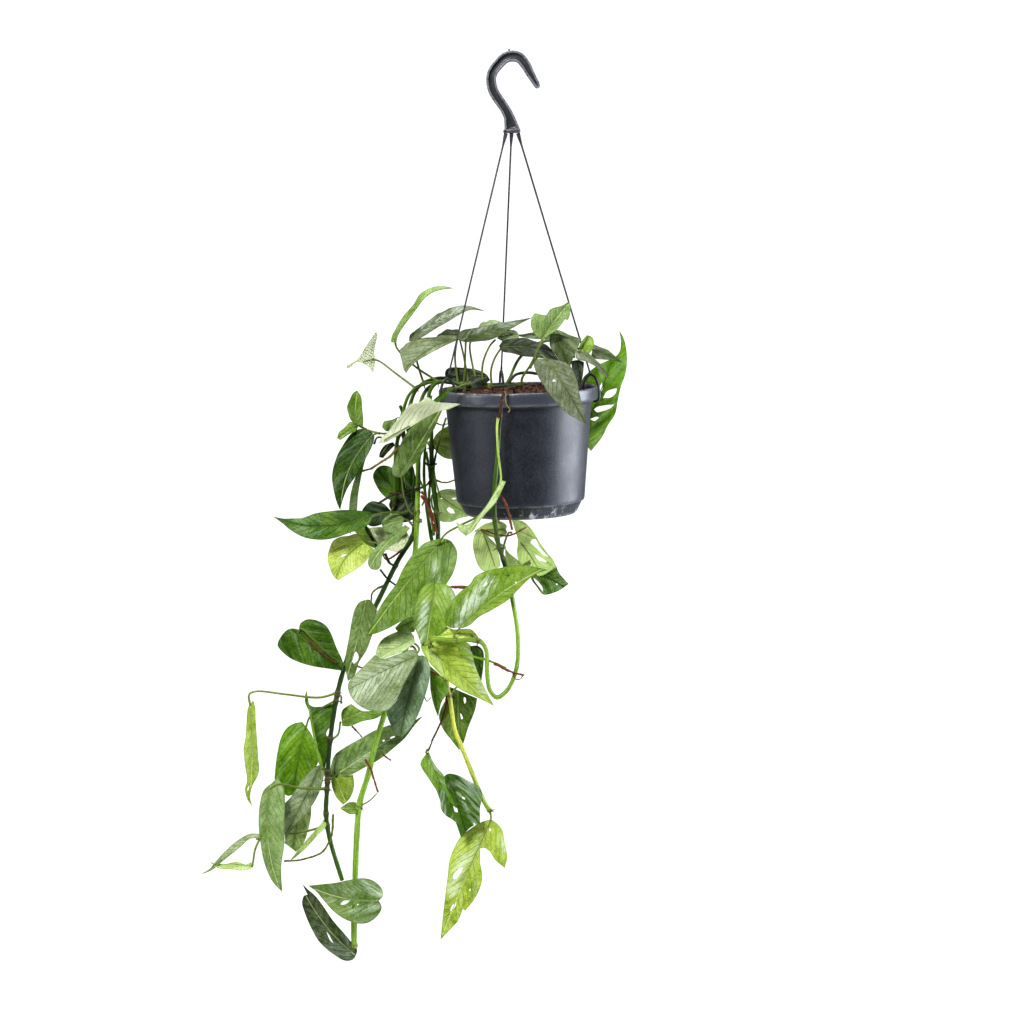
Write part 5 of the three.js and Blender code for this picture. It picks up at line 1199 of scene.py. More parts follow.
def vein_phase(leaf, along, across):
    """Counts side veins from the foot to the tip. They leave the midrib and bend towards the tip."""
    out = np.abs(across)
    half = np.where(across < 0, *leaf.halves)
    slope = np.where(across < 0, *VEIN_SLOPES)
    spacing = VEIN_SPACING * np.clip(leaf.length / USUAL_LENGTH, 0.6, 1.25)
    return (along - slope * out - 0.5 * out ** 2 / half) / spacing + 0.5


def buckled(leaf, phase, out, margin):
    """How far the blade bulges between its side veins. out is the share of the half width."""
    turns = 2 * np.pi * phase
    waves = np.sin(turns / 3.4 + leaf.base[2]) + 0.6 * np.sin(turns / 2.1 + leaf.base[0])
    waves = waves * ramp(out, 0.05, 0.5) * ramp(margin, 0, 6)
    return BUCKLE * waves * min(1, leaf.width / USUAL_WIDTH)


def sheen_on(leaf, spots):
    """How strongly the leaf's gleams, patches of painted highlight, show at seen spots"""
    sheen = np.zeros(len(spots))
    for x1, z1, x2, z2, radius, strength in leaf.gleams:
        gap = gap_to_bar(spots, (x1, z1), (x2, z2))
        sheen = np.maximum(sheen, strength * (1 - ramp(gap, 0.2 * radius, radius)))
    return sheen


def twice(values):
    """The same values for the two faces of a blade"""
    return np.concatenate([values, values])


def add_blade(piece, leaf, outline, holes, shade):
    """The two faces of a blade, and the thin wall round its margin and its holes"""
    flat, triangles = flat_sheet(outline, holes, [midrib_line(leaf, outline)], LEAF_GRID)
    along, across = flat[:, 0], flat[:, 1]
    places, facing = leaf.surface(along, across)
    margin = gap_to(flat, outline)
    half = np.where(across < 0, *leaf.halves)
    phase = vein_phase(leaf, along, across)
    places = places + facing * buckled(leaf, phase, np.abs(across) / half, margin)[:, None]
    count = len(places)
    thick = LEAF_THICKNESS / 2
    edges = rim_edges(triangles)
    upper = triangles[:, ::-1]
    lower = triangles + count
    walls = np.hstack([edges, edges[:, ::-1] + count])
    piece.add(
        np.vstack([places + facing * thick, places - facing * thick]),
        upper.tolist() + lower.tolist() + walls.tolist(),
        twice(edges) + np.repeat([0, count], len(edges))[:, None],
        tone=linear(TONES[leaf.tone]) * shade,
        under=np.repeat([0.0, 1.0], count),
        rib=twice(np.abs(across)),
        vein=twice(phase),
        margin=twice(margin),
        ribtone=-1.0 if leaf.tone in DARK_RIBS else 1.0,
        gloss=leaf.gloss,
        sheen=twice(sheen_on(leaf, seen_spots(places))),
        seed=leaf.base[0] * 0.37,
        sheet=np.stack([twice(along), twice(across), np.full(2 * count, leaf.base[0] * 3.7)], axis=1),
    )


def add_stalk(piece, leaf, outline):
    """The stalk, swollen at both ends, and the ridge that it makes under the midrib"""
    into, facing = leaf.surface(np.array([0.05 * leaf.length]), np.array([0.0]))
    line = smooth_line([*leaf.stalk, into[0] - facing[0] * 0.7], STALK_STEP)
    share = np.linspace(0, 1, len(line))
    thinning = 1 - 0.28 * share
    joint = 1 + 0.3 * ramp(share, 0.86, 0.97)
    foot = 1 + 0.25 * (1 - ramp(share, 0, 0.1))
    radii = STALK_RADIUS * thinning * joint * foot
    tone = linear(TONES[leaf.tone]) * 0.15 + linear(TONES["young"]) * leaf.fresh
    add_bar(piece, line, radii, STALK_SIDES, tone, ring=1 - ramp(share, 0.0, 0.06))

    # The ridge, where the midrib runs inside the blade without a long break
    along = np.linspace(0.03, 0.93, 26) * leaf.length
    spots = np.stack([along, np.zeros(len(along))], axis=1)
    along = along[inside(spots, outline) & (gap_to(spots, outline) > 1.2)]
    if len(along) < 6 or np.ptp(along) > 0.04 * leaf.length * len(along):
        return
    middle, facing = leaf.surface(along, np.zeros(len(along)))
    ridge = middle - facing * (LEAF_THICKNESS / 2)
    fade = 1 - ramp(along / leaf.length, 0.2, 1.0)
    add_bar(piece, ridge, 0.2 + 0.5 * fade, RIDGE_SIDES, tone)


# Stems

def stem_line(root, places):
    """A stem's middle line, with the upright peg by which it stands in the mix where it has a root"""
    points = [seen(place) for place in places]
    if root is None:
        return smooth_line(points, STEM_STEP)
    foot = np.array([*root, -PEG_DEPTH])
    crook = np.array([*root, ABOVE_MIX])
    return np.vstack([np.linspace(foot, crook, 5)[:-1], smooth_line([crook, *points], STEM_STEP)])


def nodes_on(line, places):
    """Distances along the line of its nodes, where leaf stalks start"""
    along = lengths_along(line)
    found = []
    for place in places:
        gaps = np.linalg.norm(line - place, axis=1)
        if gaps.min() < NODE_REACH:
            found.append(along[gaps.argmin()])
    return sorted(found)


def shades_along(shades, share):
    """The tones of a stem at shares of its length"""
    stops = [stop for stop, _ in shades]
    tones = np.array([linear(TONES[name]) for _, name in shades])
    return np.stack([np.interp(share, stops, tones[:, i]) for i in range(3)], axis=1)


def add_stem(piece, stem, starts, random):
    """A stem that swells at its nodes, each with a brown scar and two stubs of roots"""
    root, (start, end), places, shades = stem
    line = stem_line(root, places)
    along = lengths_along(line)
    slim_start = 0.72 + 0.28 * ramp(along, 60, 150)
    radii = (start + (end - start) * along / along[-1]) * slim_start
    nodes = nodes_on(line, starts)
    swell = np.zeros(len(line))
    scar = np.zeros(len(line))
    for node in nodes:
        swell = np.maximum(swell, peak(along, node, 3.2))
        scar = np.maximum(scar, peak(along, node - 1.5, 1.1))
    rough = 0.04 * np.sin(along / 5.3 + start * 9) + 0.03 * np.sin(along / 2.1)
    tones = shades_along(shades, along / along[-1])
    add_bar(piece, line, radii * (1 + 0.3 * swell + rough), STEM_SIDES, tones, ring=scar)
    tangents = tangents_of(line)
    for node in nodes:
        at = int(np.abs(along - node).argmin())
        for _ in range(2):
            add_stub(piece, line[at], tangents[at], radii[at], random)


def add_stub(piece, place, tangent, radius, random):
    """A short dry root that grew from a node"""
    side = unit(np.cross(tangent, random.normal(size=3)))
    length = random.uniform(2.5, 6)
    droop = np.array([0, 0, -0.25 * length])
    foot = place + side * radius * 0.6
    middle = place + side * (radius + length / 2) + droop * 0.3
    tip = place + side * (radius + length) + droop
    line = smooth_line([foot, middle, tip], STUB_STEP)
    add_bar(piece, line, np.linspace(0.75, 0.25, len(line)), STUB_SIDES, linear(TONES["bark"]))


def add_shoot(piece, places, radius, tone):
    """A thin bare stem, a little knotted"""
    line = smooth_line([seen(place) for place in places], ROOT_STEP)
    along = lengths_along(line)
    radii = radius * (1 + 0.12 * np.sin(along / 3.1) + 0.1 * np.sin(along / 1.3 + 1))
    add_bar(piece, line, radii, ROOT_SIDES, linear(TONES[tone]))


def add_root(piece, places, radius, tone, random):
    """A long aerial root, which wanders a little on its way"""
    line = smooth_line([seen(place) for place in places], ROOT_STEP)
    share = np.linspace(0, 1, len(line))
    wander = np.cumsum(random.normal(size=(len(line), 3)), axis=0)
    wander = wander - wander[0] - share[:, None] * (wander[-1] - wander[0])
    line = line + wander * 0.16
    radii = radius * (1 - 0.35 * share) * (1 + 0.14 * random.normal(size=len(line)))
    add_bar(piece, line, np.clip(radii, 0.35, None), ROOT_SIDES, linear(TONES[tone]))


def make_vine(vine):
    """A vine's leaves, its stems with the stalks, and its aerial roots"""
    random = np.random.default_rng(sum(map(ord, vine.name)))
    leaves, stems, roots = (Piece(f"{vine.name}_{part}") for part in ("leaves", "stems", "roots"))
    for leaf in vine.leaves.values():
        outline, holes = blade_outline(leaf)
        add_blade(leaves, leaf, outline, holes, random.uniform(0.93, 1.07))
        add_stalk(stems, leaf, outline)
    starts = [leaf.stalk[0] for leaf in vine.leaves.values()]
    for stem in vine.stems:
        add_stem(stems, stem, starts, random)
    for shoot in vine.shoots:
        add_shoot(stems, *shoot)
    for twig in vine.twigs:
        add_root(roots, *twig, random)
    for piece, material in ((leaves, LEAF), (stems, STEM), (roots, ROOT)):
        if piece.count:
            piece.finish(material, vine.slot, [vine.name])


# Node trees

class Tree:
    """Short calls for building the node tree of a material or a world"""

    def __init__(self, owner, shader="Principled BSDF"):
        owner.use_nodes = True
        self.owner = owner
        self.nodes = owner.node_tree.nodes
        self.links = owner.node_tree.links
        self.shader = self.nodes[shader]

    def node(self, kind, inputs=(), **settings):
        """A new node, with its settings and its inputs"""
        made = self.nodes.new(kind)
        for key, value in settings.items():
            setattr(made, key, value)
        for key, value in dict(inputs).items():
            self.set(made.inputs[key], value)
        return made

    def set(self, socket, value):
        """Links or sets a socket. A colour is given as linear red, green and blue."""
        if isinstance(value, bpy.types.NodeSocket):
            self.links.new(value, socket)
        else:
            socket.default_value = (*value, 1.0) if socket.type == "RGBA" else value

    def read(self, key, output="Fac"):
        """A piece's values at its points"""
        return self.node("ShaderNodeAttribute", attribute_name=key).outputs[output]

    def places(self):
        """The places on a piece, in metres"""
        return self.node("ShaderNodeTexCoord").outputs["Object"]

    def noise(self, vector, scale, detail=3.0, roughness=0.55):
        """Clouds, with the scale in waves per unit of the vector"""
        inputs = {"Vector": vector, "Scale": scale, "Detail": detail, "Roughness": roughness}
        return self.node("ShaderNodeTexNoise", inputs).outputs["Fac"]

    def cells(self, vector, scale):
        """The distance to the nearest border between random cells"""
        inputs = {"Vector": vector, "Scale": scale}
        return self.node("ShaderNodeTexVoronoi", inputs, feature="DISTANCE_TO_EDGE").outputs["Distance"]

    def scaled(self, vector, factors):
        return self.node("ShaderNodeVectorMath", {0: vector, 1: factors}, operation="MULTIPLY").outputs[0]

    def math(self, operation, a, b=0.0):
        return self.node("ShaderNodeMath", {0: a, 1: b}, operation=operation).outputs[0]

    def times(self, a, b):
        return self.math("MULTIPLY", a, b)

    def plus(self, a, b):
        return self.math("ADD", a, b)

    def minus(self, a, b):
        return self.math("SUBTRACT", a, b)

    def step(self, value, low, high, start=0.0, end=1.0, way="SMOOTHSTEP"):
        """A smooth change from start to end as the value goes from low to high"""
        inputs = {"Value": value, "From Min": low, "From Max": high, "To Min": start, "To Max": end}
        return self.node("ShaderNodeMapRange", inputs, interpolation_type=way).outputs["Result"]

    def mix(self, factor, a, b, blend="MIX"):
        """Colour a with a share of colour b"""
        made = self.node("ShaderNodeMix", data_type="RGBA", blend_type=blend)
        self.set(made.inputs["Factor"], factor)
        self.set(made.inputs[6], a)
        self.set(made.inputs[7], b)
        return made.outputs[2]

    def layered(self, body, *layers):
        """The body's colour under layers, each given as how much of it shows and its colour"""
        for share, colour in layers:
            body = self.mix(share, body, colour)
        return body

    def bump(self, height, distance):
        return self.node("ShaderNodeBump", {"Height": height, "Distance": distance}).outputs["Normal"]

    def finish(self, colour, roughness, normal=None, specular=None):
        """Sets the shader's own sockets"""
        names = ("Base Color", "Roughness", "Normal", "Specular IOR Level")
        for name, value in zip(names, (colour, roughness, normal, specular)):
            if value is not None:
                self.set(self.shader.inputs[name], value)
        return self.owner

    def blend_shader(self, share, other):
        """Shows so much of another shader in place of the main one"""
        inputs = {"Fac": share, 1: self.shader.outputs[0], 2: other.outputs[0]}
        mixed = self.node("ShaderNodeMixShader", inputs)
        self.set(self.nodes["Material Output"].inputs["Surface"], mixed.outputs[0])


def new_tree(name):
    """The node tree of a new material"""
    return Tree(bpy.data.materials.new(name))


# Materials

def leaf_material():
    """A leathery blade: streaked beside its fine side veins, a lined midrib, a paler and duller underside,
    with painted shade beside the midrib and painted highlights beside the veins and in gleams
    """
    t = new_tree("leaf")
    sheet = t.read("sheet", "Vector")
    under = t.read("under")
    rib = t.read("rib")
    margin = t.read("margin")
    base = t.read("tone", "Color")

    # Side veins, a little uneven, and how near each point is to one: 0 between veins, 1 on one
    uneven = t.times(t.minus(t.noise(sheet, 0.08, 3.0), 0.5), 0.9)
    phase = t.plus(t.read("vein"), uneven)
    from_vein = t.math("ABSOLUTE", t.minus(t.math("FRACT", phase), 0.5))
    inner = t.times(t.step(margin, 0.3, 4.0), t.step(t.noise(sheet, 0.16, 2.0), 0.3, 0.6, 0.25, 1.0))
    vein = t.times(t.step(from_vein, 0.42, 0.48), inner)
    # A lighter band beside each side vein: a painted highlight on the relief beside the sunken vein
    painted_flank_highlight = t.times(t.step(from_vein, 0.24, 0.4), t.minus(inner, vein))
    midrib = t.step(rib, 0.3, 1.0, 1.0, 0.0)
    lined = t.step(t.read("ribtone"), -0.1, 0.1, 0.4, 0.22)

    # Streaks that run out beside the side veins, patches, fine grain and a net of small veins
    lanes = t.node("ShaderNodeCombineXYZ", {"X": phase, "Y": t.times(rib, 0.07), "Z": t.read("seed")})
    lanes = lanes.outputs["Vector"]
    streaks = t.noise(lanes, 1.7, 5.0, 0.6)
    patches = t.noise(sheet, 0.04, 3.0)
    fine = t.noise(sheet, 0.55, 5.0, 0.65)
    net = t.step(t.cells(sheet, 0.5), 0.02, 0.16, 1.0, 0.0)

    darker = t.mix(1.0, base, LEAF_SHADE, "MULTIPLY")
    lighter = t.node("ShaderNodeGamma", {"Color": base, "Gamma": 0.72}).outputs["Color"]
    mottle = t.noise(sheet, 0.17, 4.0, 0.6)
    rise = t.plus(t.times(patches, 0.36), t.times(streaks, 0.08))
    rise = t.plus(rise, t.times(mottle, 0.24))
    rise = t.plus(rise, t.times(fine, 0.32))
    pale_rib = t.mix(0.45, lighter, LEAF_PALE_RIB)
    rib_colour = t.mix(t.step(t.read("ribtone"), -0.1, 0.1), darker, pale_rib)
    body = t.layered(
        t.mix(t.step(rise, 0.4, 0.51), t.mix(0.8, base, darker), base),
        (t.step(rise, 0.49, 0.59), lighter),
        (t.times(net, 0.16), darker),
        # Painted highlight beside the side veins
        (t.times(painted_flank_highlight, 0.15), lighter),
        (t.times(vein, lined), darker),
        # Painted shade: the blade darker in the crease beside the midrib
        (t.step(rib, 0.6, 6.0, 0.3, 0.0), darker),
        (t.times(midrib, 0.8), rib_colour),
        (t.step(margin, 0.3, 1.6, 0.5, 0.0), darker),
    )

    # Painted highlights: pale gleams between the veins of the glossiest leaves, and broad patches of painted
    # sheen
    broad = t.noise(lanes, 0.62, 3.0, 0.5)
    gleam = t.times(t.step(broad, 0.5, 0.62), t.step(streaks, 0.3, 0.56, 0.3, 1.0))
    gleam = t.times(gleam, t.minus(1.0, t.times(vein, 0.7)))
    gleam = t.times(gleam, t.times(t.read("gloss"), t.step(rib, 0.5, 2.5)))
    sheen = t.times(t.read("sheen"), t.step(streaks, 0.4, 0.56, 0.12, 1.0))
    sheen = t.times(sheen, t.step(fine, 0.3, 0.55, 0.5, 1.0))
    sheen = t.times(sheen, t.minus(1.0, t.times(vein, 0.6)))
    body = t.mix(t.math("MAXIMUM", gleam, sheen), body, LEAF_GLEAM)

    # The underside
    pale = t.layered(
        t.mix(0.4, base, lighter),
        (t.times(t.step(rise, 0.4, 0.56, 1.0, 0.0), 0.25), darker),
        (t.times(vein, 0.5), darker),
        (t.step(margin, 0.3, 1.4, 0.4, 0.0), darker),
    )
    colour = t.mix(under, body, pale)

    # A satin skin, sunk along its veins, that lets a little light through
    roughness = t.plus(t.step(fine, 0.3, 0.7, 0.3, 0.42), t.times(under, 0.16))
    height = t.plus(t.times(fine, 0.45), t.times(streaks, 0.22))
    height = t.minus(height, t.times(vein, 0.6))
    height = t.minus(height, t.times(midrib, 0.25))
    glow = t.mix(1.0, colour, LEAF_GLOW, "MULTIPLY")
    t.blend_shader(0.14, t.node("ShaderNodeBsdfTranslucent", {"Color": glow}))
    return t.finish(colour, roughness, t.bump(height, 0.0014), specular=0.17)


def stem_material():
    """A stem's smooth green skin, with brown streaks, dark spots and corky scars"""
    t = new_tree("stem")
    grain = t.read("grain", "Vector")
    base = t.read("tone", "Color")
    streaks = t.step(t.noise(t.scaled(grain, (1.2, 1.2, 0.14)), 0.6, 5.0), 0.44, 0.6)
    spots = t.step(t.noise(grain, 1.6, 4.0), 0.58, 0.66)
    darker = t.mix(1.0, base, STEM_SHADE, "MULTIPLY")
    cork = t.mix(t.noise(grain, 4.0), CORK_DARK, CORK_LIGHT)
    body = t.layered(
        base,
        (t.times(streaks, 0.7), darker),
        (t.times(spots, 0.75), STEM_SPOT),
        (t.times(t.read("ring"), 0.85), cork),
    )
    roughness = t.step(streaks, 0.0, 1.0, 0.38, 0.6)
    height = t.plus(t.noise(grain, 1.4, 4.0), t.times(t.read("ring"), 0.6))
    return t.finish(body, roughness, t.bump(height, 0.0005), specular=0.3)


def root_material():
    """A dry aerial root, scaly and reddish brown"""
    t = new_tree("aerial_root")
    grain = t.read("grain", "Vector")
    scales = t.noise(grain, 2.6, 5.0, 0.7)
    base = t.read("tone", "Color")
    deep = t.mix(0.6, base, ROOT_DARK)
    body = t.mix(t.step(scales, 0.35, 0.65), deep, t.mix(0.25, base, ROOT_SCALE))
    return t.finish(body, t.step(scales, 0.3, 0.7, 0.6, 0.9), t.bump(scales, 0.0006), specular=0.2)


def pot_material():
    """Moulded recycled plastic: slate, faintly streaked, with scuffs on its edges and lime on its rim;
    painted highlights on its edges and band, and painted shadow under the band and the step
    """
    t = new_tree("pot_plastic")
    places = t.places()
    band = t.read("band")
    streaks = t.noise(t.scaled(places, (60.0, 60.0, 4.0)), 1.0, 4.0)
    mottle = t.noise(places, 45.0, 4.0)
    specks = t.step(t.noise(places, 700.0, 2.0), 0.6, 0.68)
    dust = t.step(t.noise(t.scaled(places, (14.0, 14.0, 22.0)), 1.0, 5.0), 0.5, 0.8)
    grit = t.step(t.noise(places, 520.0, 4.0, 0.7), 0.4, 0.64)
    wear_and_painted_highlight = t.step(t.noise(places, 130.0, 4.0), 0.35, 0.6, 0.2, 0.9)
    scuffs = t.step(t.noise(t.scaled(places, (150.0, 150.0, 45.0)), 1.0, 5.0, 0.7), 0.54, 0.66)
    crust = t.times(t.step(t.noise(places, 60.0, 2.0), 0.5, 0.62), t.read("lime"))
    crust = t.times(crust, t.step(t.noise(places, 420.0, 5.0), 0.4, 0.6))
    body = t.layered(
        t.mix(streaks, POT_SLATE, POT_STREAK),
        (t.times(t.step(mottle, 0.4, 0.7), 0.3), POT_CLOUD),
        (t.times(grit, 0.55), POT_GRIT),
        (t.times(dust, 0.12), POT_DUST),
        (t.times(specks, 0.6), POT_SPECK),
        # Painted light: the band lighter, as where it catches the lamps
        (t.step(band, 0.0, 1.0, 0.0, 0.6), POT_PAINTED_BAND_LIGHT),
        # Painted shadow: dark lines under the band and under the step
        (t.step(band, -0.8, 0.0, 0.85, 0.0), POT_PAINTED_SHADOW),
        # Moulded edges lighter: wear, and a painted highlight
        (t.times(t.read("edge"), wear_and_painted_highlight), POT_WEAR_AND_HIGHLIGHT),
        (t.times(scuffs, t.read("scuffed")), POT_SCUFF),
        (crust, POT_LIME),
    )
    roughness = t.plus(t.step(mottle, 0.3, 0.7, 0.38, 0.46), t.times(grit, 0.07))
    roughness = t.minus(roughness, t.step(band, 0.0, 1.0, 0.0, 0.12))
    grain = t.plus(t.noise(places, 620.0, 4.0), t.times(streaks, 1.2))
    return t.finish(body, roughness, t.bump(grain, 0.00013))


def hanger_material():
    """The hanger's near-black plastic, satin, lighter along its edges with painted highlights"""
    t = new_tree("hanger_plastic")
    places = t.places()
    mottle = t.noise(places, 120.0, 4.0)
    body = t.mix(t.step(mottle, 0.35, 0.65), HANGER_DARK, HANGER_LIGHT)
    # Painted highlights along the edges, broken up by noise
    painted_edge_highlight = t.times(t.read("edge"), t.step(t.noise(places, 260.0, 4.0), 0.35, 0.6, 0.5, 0.95))
    body = t.mix(painted_edge_highlight, body, HANGER_PAINTED_HIGHLIGHT)
    roughness = t.step(mottle, 0.3, 0.7, 0.4, 0.46)
    return t.finish(body, roughness, t.bump(t.noise(places, 900.0, 3.0), 0.0001))


def soil_material():
    """Damp coir and bark"""
    t = new_tree("growing_mix")
    places = t.places()
    grains = t.noise(places, 420.0, 6.0, 0.65)
    clumps = t.noise(places, 90.0, 3.0)
    base = t.read("tone", "Color")
    bits = t.step(t.cells(places, 210.0), 0.1, 0.5)
    base = t.mix(t.times(bits, 0.5), base, MIX_BIT)
    body = t.mix(t.step(grains, 0.4, 0.62), t.mix(1.0, base, MIX_SHADE, "MULTIPLY"), base)
    body = t.mix(t.step(clumps, 0.42, 0.6, 0.0, 0.75), body, MIX_CLUMP)
    return t.finish(body, t.step(grains, 0.3, 0.7, 0.75, 0.95), t.bump(grains, 0.0012))


# The pot

# Heights of the pot's underside, of the step over its foot and of the band's lower edge
BASE = -POT_HEIGHT
STEP = -POT_HEIGHT + FOOT_HEIGHT
BAND = -BAND_HEIGHT

SCUFFED_SIDE = np.array([0.5, -0.85, 0])

# The wall's outline, from the foot up the outside, over the rim and down the inside: (radius, height)
POT_PROFILE = [
    (FOOT_RADIUS - 2, BASE), (FOOT_RADIUS, BASE + 1.6), (FOOT_TOP_RADIUS - 0.4, STEP - 3),
    (FOOT_TOP_RADIUS, STEP - 1.6), (BODY_FOOT_RADIUS - 0.5, STEP - 0.6), (BODY_FOOT_RADIUS, STEP + 0.8),
    (BODY_TOP_RADIUS, BAND - 1.4), (BODY_TOP_RADIUS + 0.8, BAND - 0.2), (RIM_RADIUS - 1.4, BAND),
    (RIM_RADIUS - 0.5, BAND + 0.8), (RIM_RADIUS, -1.4), (RIM_RADIUS - 0.5, -0.3), (RIM_RADIUS - 1.1, 0),
    (RIM_RADIUS - WALL + 0.3, -0.3), (RIM_RADIUS - WALL, -1), (RIM_RADIUS - WALL - 0.6, BAND + 1),
    (BODY_TOP_RADIUS - WALL, BAND - WALL), (BODY_FOOT_RADIUS - WALL, STEP + WALL),
    (FOOT_TOP_RADIUS - WALL, STEP), (FOOT_RADIUS - WALL, BASE + FLOOR),
]


def ring_of(radius, height, segments):
    """Points round a level circle"""
    angle = 2 * np.pi * np.arange(segments) / segments
    return np.stack([radius * np.cos(angle), radius * np.sin(angle), np.full(segments, height)], axis=1)


def fine_profile(corners, step):
    """The profile's straight runs, cut into short steps"""
    points = [np.array(corners[0], float)]
    for start, end in zip(corners, corners[1:]):
        start, end = np.array(start, float), np.array(end, float)
        count = max(1, math.ceil(np.linalg.norm(end - start) / step))
        points += [start + (end - start) * i / count for i in range(1, count + 1)]
    return points


def near_edge(height):
    """1 on the pot's moulded edges, 0 away from them"""
    return max(peak(height, edge, 0.9) for edge in (BASE + 1, STEP - 0.4, BAND + 0.2, -0.4))


def drained_disc(radius):
    """A disc with the drain holes, as (points, triangles, holes)"""
    outline = ring_of(radius, 0, POT_SEGMENTS)[:, :2]
    holes = []
    for i in range(DRAIN_HOLES):
        toward = 2 * np.pi * (i + 0.5) / DRAIN_HOLES
        centre = DRAIN_CIRCLE * np.array([math.cos(toward), math.sin(toward)])
        holes.append(centre + ring_of(DRAIN_RADIUS, 0, DRAIN_SEGMENTS)[:, :2])
    places, triangles = flat_sheet(outline, holes, [], 6.0)
    return places, triangles, holes


def add_pot_wall(piece, profile):
    """The turned wall, with its edges lighter by wear and a painted highlight, its lime, its scuffs and its
    band: painted lighter, with painted shadow in lines under it and under the step
    """
    points = np.vstack([ring_of(radius, height, POT_SEGMENTS) for radius, height in profile])
    heights = points[:, 2]
    edge = np.array([near_edge(height) for height in heights])
    lime = peak(heights, -0.6, 1.3)
    # Painted light on the band, and below 0 painted shadow in lines under the band and under the step
    band = ramp(heights, BAND - 0.4, BAND + 0.6)
    band = band - peak(heights, BAND - 2.6, 1.6) - 0.8 * peak(heights, STEP - 1.8, 1.3)
    towards = points @ SCUFFED_SIDE / RIM_RADIUS
    scuffed = ramp(towards, 0.25, 0.6) * (1 - ramp(heights, BASE + 4, STEP))
    faces = wall_faces(len(profile), POT_SEGMENTS)
    piece.add(points, faces, edge=edge, lime=lime, band=band, scuffed=scuffed)


def add_pot_floor(piece, low_radius, high_radius):
    """The floor, as two discs with the walls of the drain holes between them"""
    plain = {"edge": 0.0, "lime": 0.0, "band": 0.0, "scuffed": 0.0}
    for height, radius, turn in ((BASE, low_radius, -1), (BASE + FLOOR, high_radius, 1)):
        places, triangles, holes = drained_disc(radius)
        disc = np.column_stack([places, np.full(len(places), height)])
        piece.add(disc, triangles[:, ::turn].tolist(), **plain)
    for hole in holes:
        low = np.column_stack([hole, np.full(len(hole), BASE)])
        high = np.column_stack([hole, np.full(len(hole), BASE + FLOOR)])
        walls = [[a, d, c, b] for a, b, c, d in wall_faces(2, len(hole))]
        piece.add(np.vstack([low, high]), walls, **plain)


def make_pot():
    """The pot's shell: its wall, and its floor with drain holes"""
    piece = Piece("pot_shell")
    profile = fine_profile(POT_PROFILE, 3.0)
    add_pot_wall(piece, profile)
    add_pot_floor(piece, profile[0][0], profile[-1][0])
    piece.finish(POT, "pot_plastic", ["pot"])


# The growing mix

MIX_TONE = (104, 62, 42)
CHIP_TONES = [(126, 72, 46), (92, 52, 36), (74, 44, 32), (150, 98, 64), (58, 40, 32)]
FIBRE_TONE = (168, 126, 78)
MIX_BELOW_RIM = 0.8
MIX_FALL = 2.4
MIX_FALL_RADIUS = 56
MIX_SEGMENTS = 150
CHIPS = 900
FIBRES = 150
FIBRE_RADIUS = 0.22


def heap_height(x, y, waves):
    """The height of the mix's heaped and lumpy top"""
    radius = np.hypot(x, y)
    height = -MIX_BELOW_RIM - MIX_FALL * (radius / MIX_FALL_RADIUS) ** 2
    for kx, ky, phase, size in waves:
        height = height + size * np.sin(kx * x + ky * y + phase)
    return height


def add_chip(piece, centre, size, flatness, tone, random):
    """A small angular chip of bark"""
    corners = random.normal(size=(8, 3))
    corners = unit(corners) * size * random.uniform(0.7, 1.2, size=(8, 1))
    corners[:, 2] *= flatness
    heading = Matrix.Rotation(random.uniform(0, 2 * np.pi), 3, "Z")
    tilt = Matrix.Rotation(random.uniform(-0.5, 0.5), 3, "X")
    corners = corners @ np.array(heading @ tilt).T
    points = centre + corners[np.array(hull_faces(corners)).ravel()]
    piece.add(points, np.arange(len(points)).reshape(-1, 3).tolist(), tone=tone)


def hull_faces(points):
    """The triangles of the convex hull of a few points, facing out"""
    faces = []
    middle = points.mean(axis=0)
    count = len(points)
    for i in range(count):
        for j in range(i + 1, count):
            for k in range(j + 1, count):
                normal = np.cross(points[j] - points[i], points[k] - points[i])
                side = (points - points[i]) @ normal
                if (side <= 1e-9).all() or (side >= -1e-9).all():
                    out = normal @ (points[i] - middle) > 0
                    faces.append((i, j, k) if out else (i, k, j))
    return faces


def add_fibre(piece, centre, random):
    """A pale curl of coir"""
    heading = random.uniform(0, 2 * np.pi)
    length = random.uniform(5, 15)
    step = np.array([math.cos(heading), math.sin(heading), 0]) * length / 3
    points = [centre]
    for _ in range(3):
        points.append(points[-1] + step + random.normal(size=3) * [1.4, 1.4, 0.7])
    line = smooth_line(points, 1.5)
    line[:, 2] = np.maximum(line[:, 2], centre[2])
    tone = linear(FIBRE_TONE) * random.uniform(0.5, 1.1)
    points, _ = rings(line, np.full(len(line), FIBRE_RADIUS), 4)
    piece.add(points, tube_faces(len(line), 4), tone=tone)


def add_heap(piece, inner, waves):
    """The mix's top, and a skirt round it down beside the wall"""
    points = []
    for radius in np.linspace(0.5, inner, 56):
        ring = ring_of(radius, 0, MIX_SEGMENTS)
        ring[:, 2] = heap_height(ring[:, 0], ring[:, 1], waves)
        points.append(ring)
    points.append(ring_of(BODY_TOP_RADIUS - WALL - 1, BAND - 4, MIX_SEGMENTS))
    walls = [[a, d, c, b] for a, b, c, d in wall_faces(len(points), MIX_SEGMENTS)]
    piece.add(np.vstack(points), [list(range(MIX_SEGMENTS)), *walls], tone=linear(MIX_TONE))


def spot_in_mix(reach, random):
    """A random spot within reach of the middle"""
    angle = random.uniform(0, 2 * np.pi)
    radius = reach * math.sqrt(random.uniform(0, 1))
    return radius * math.cos(angle), radius * math.sin(angle)


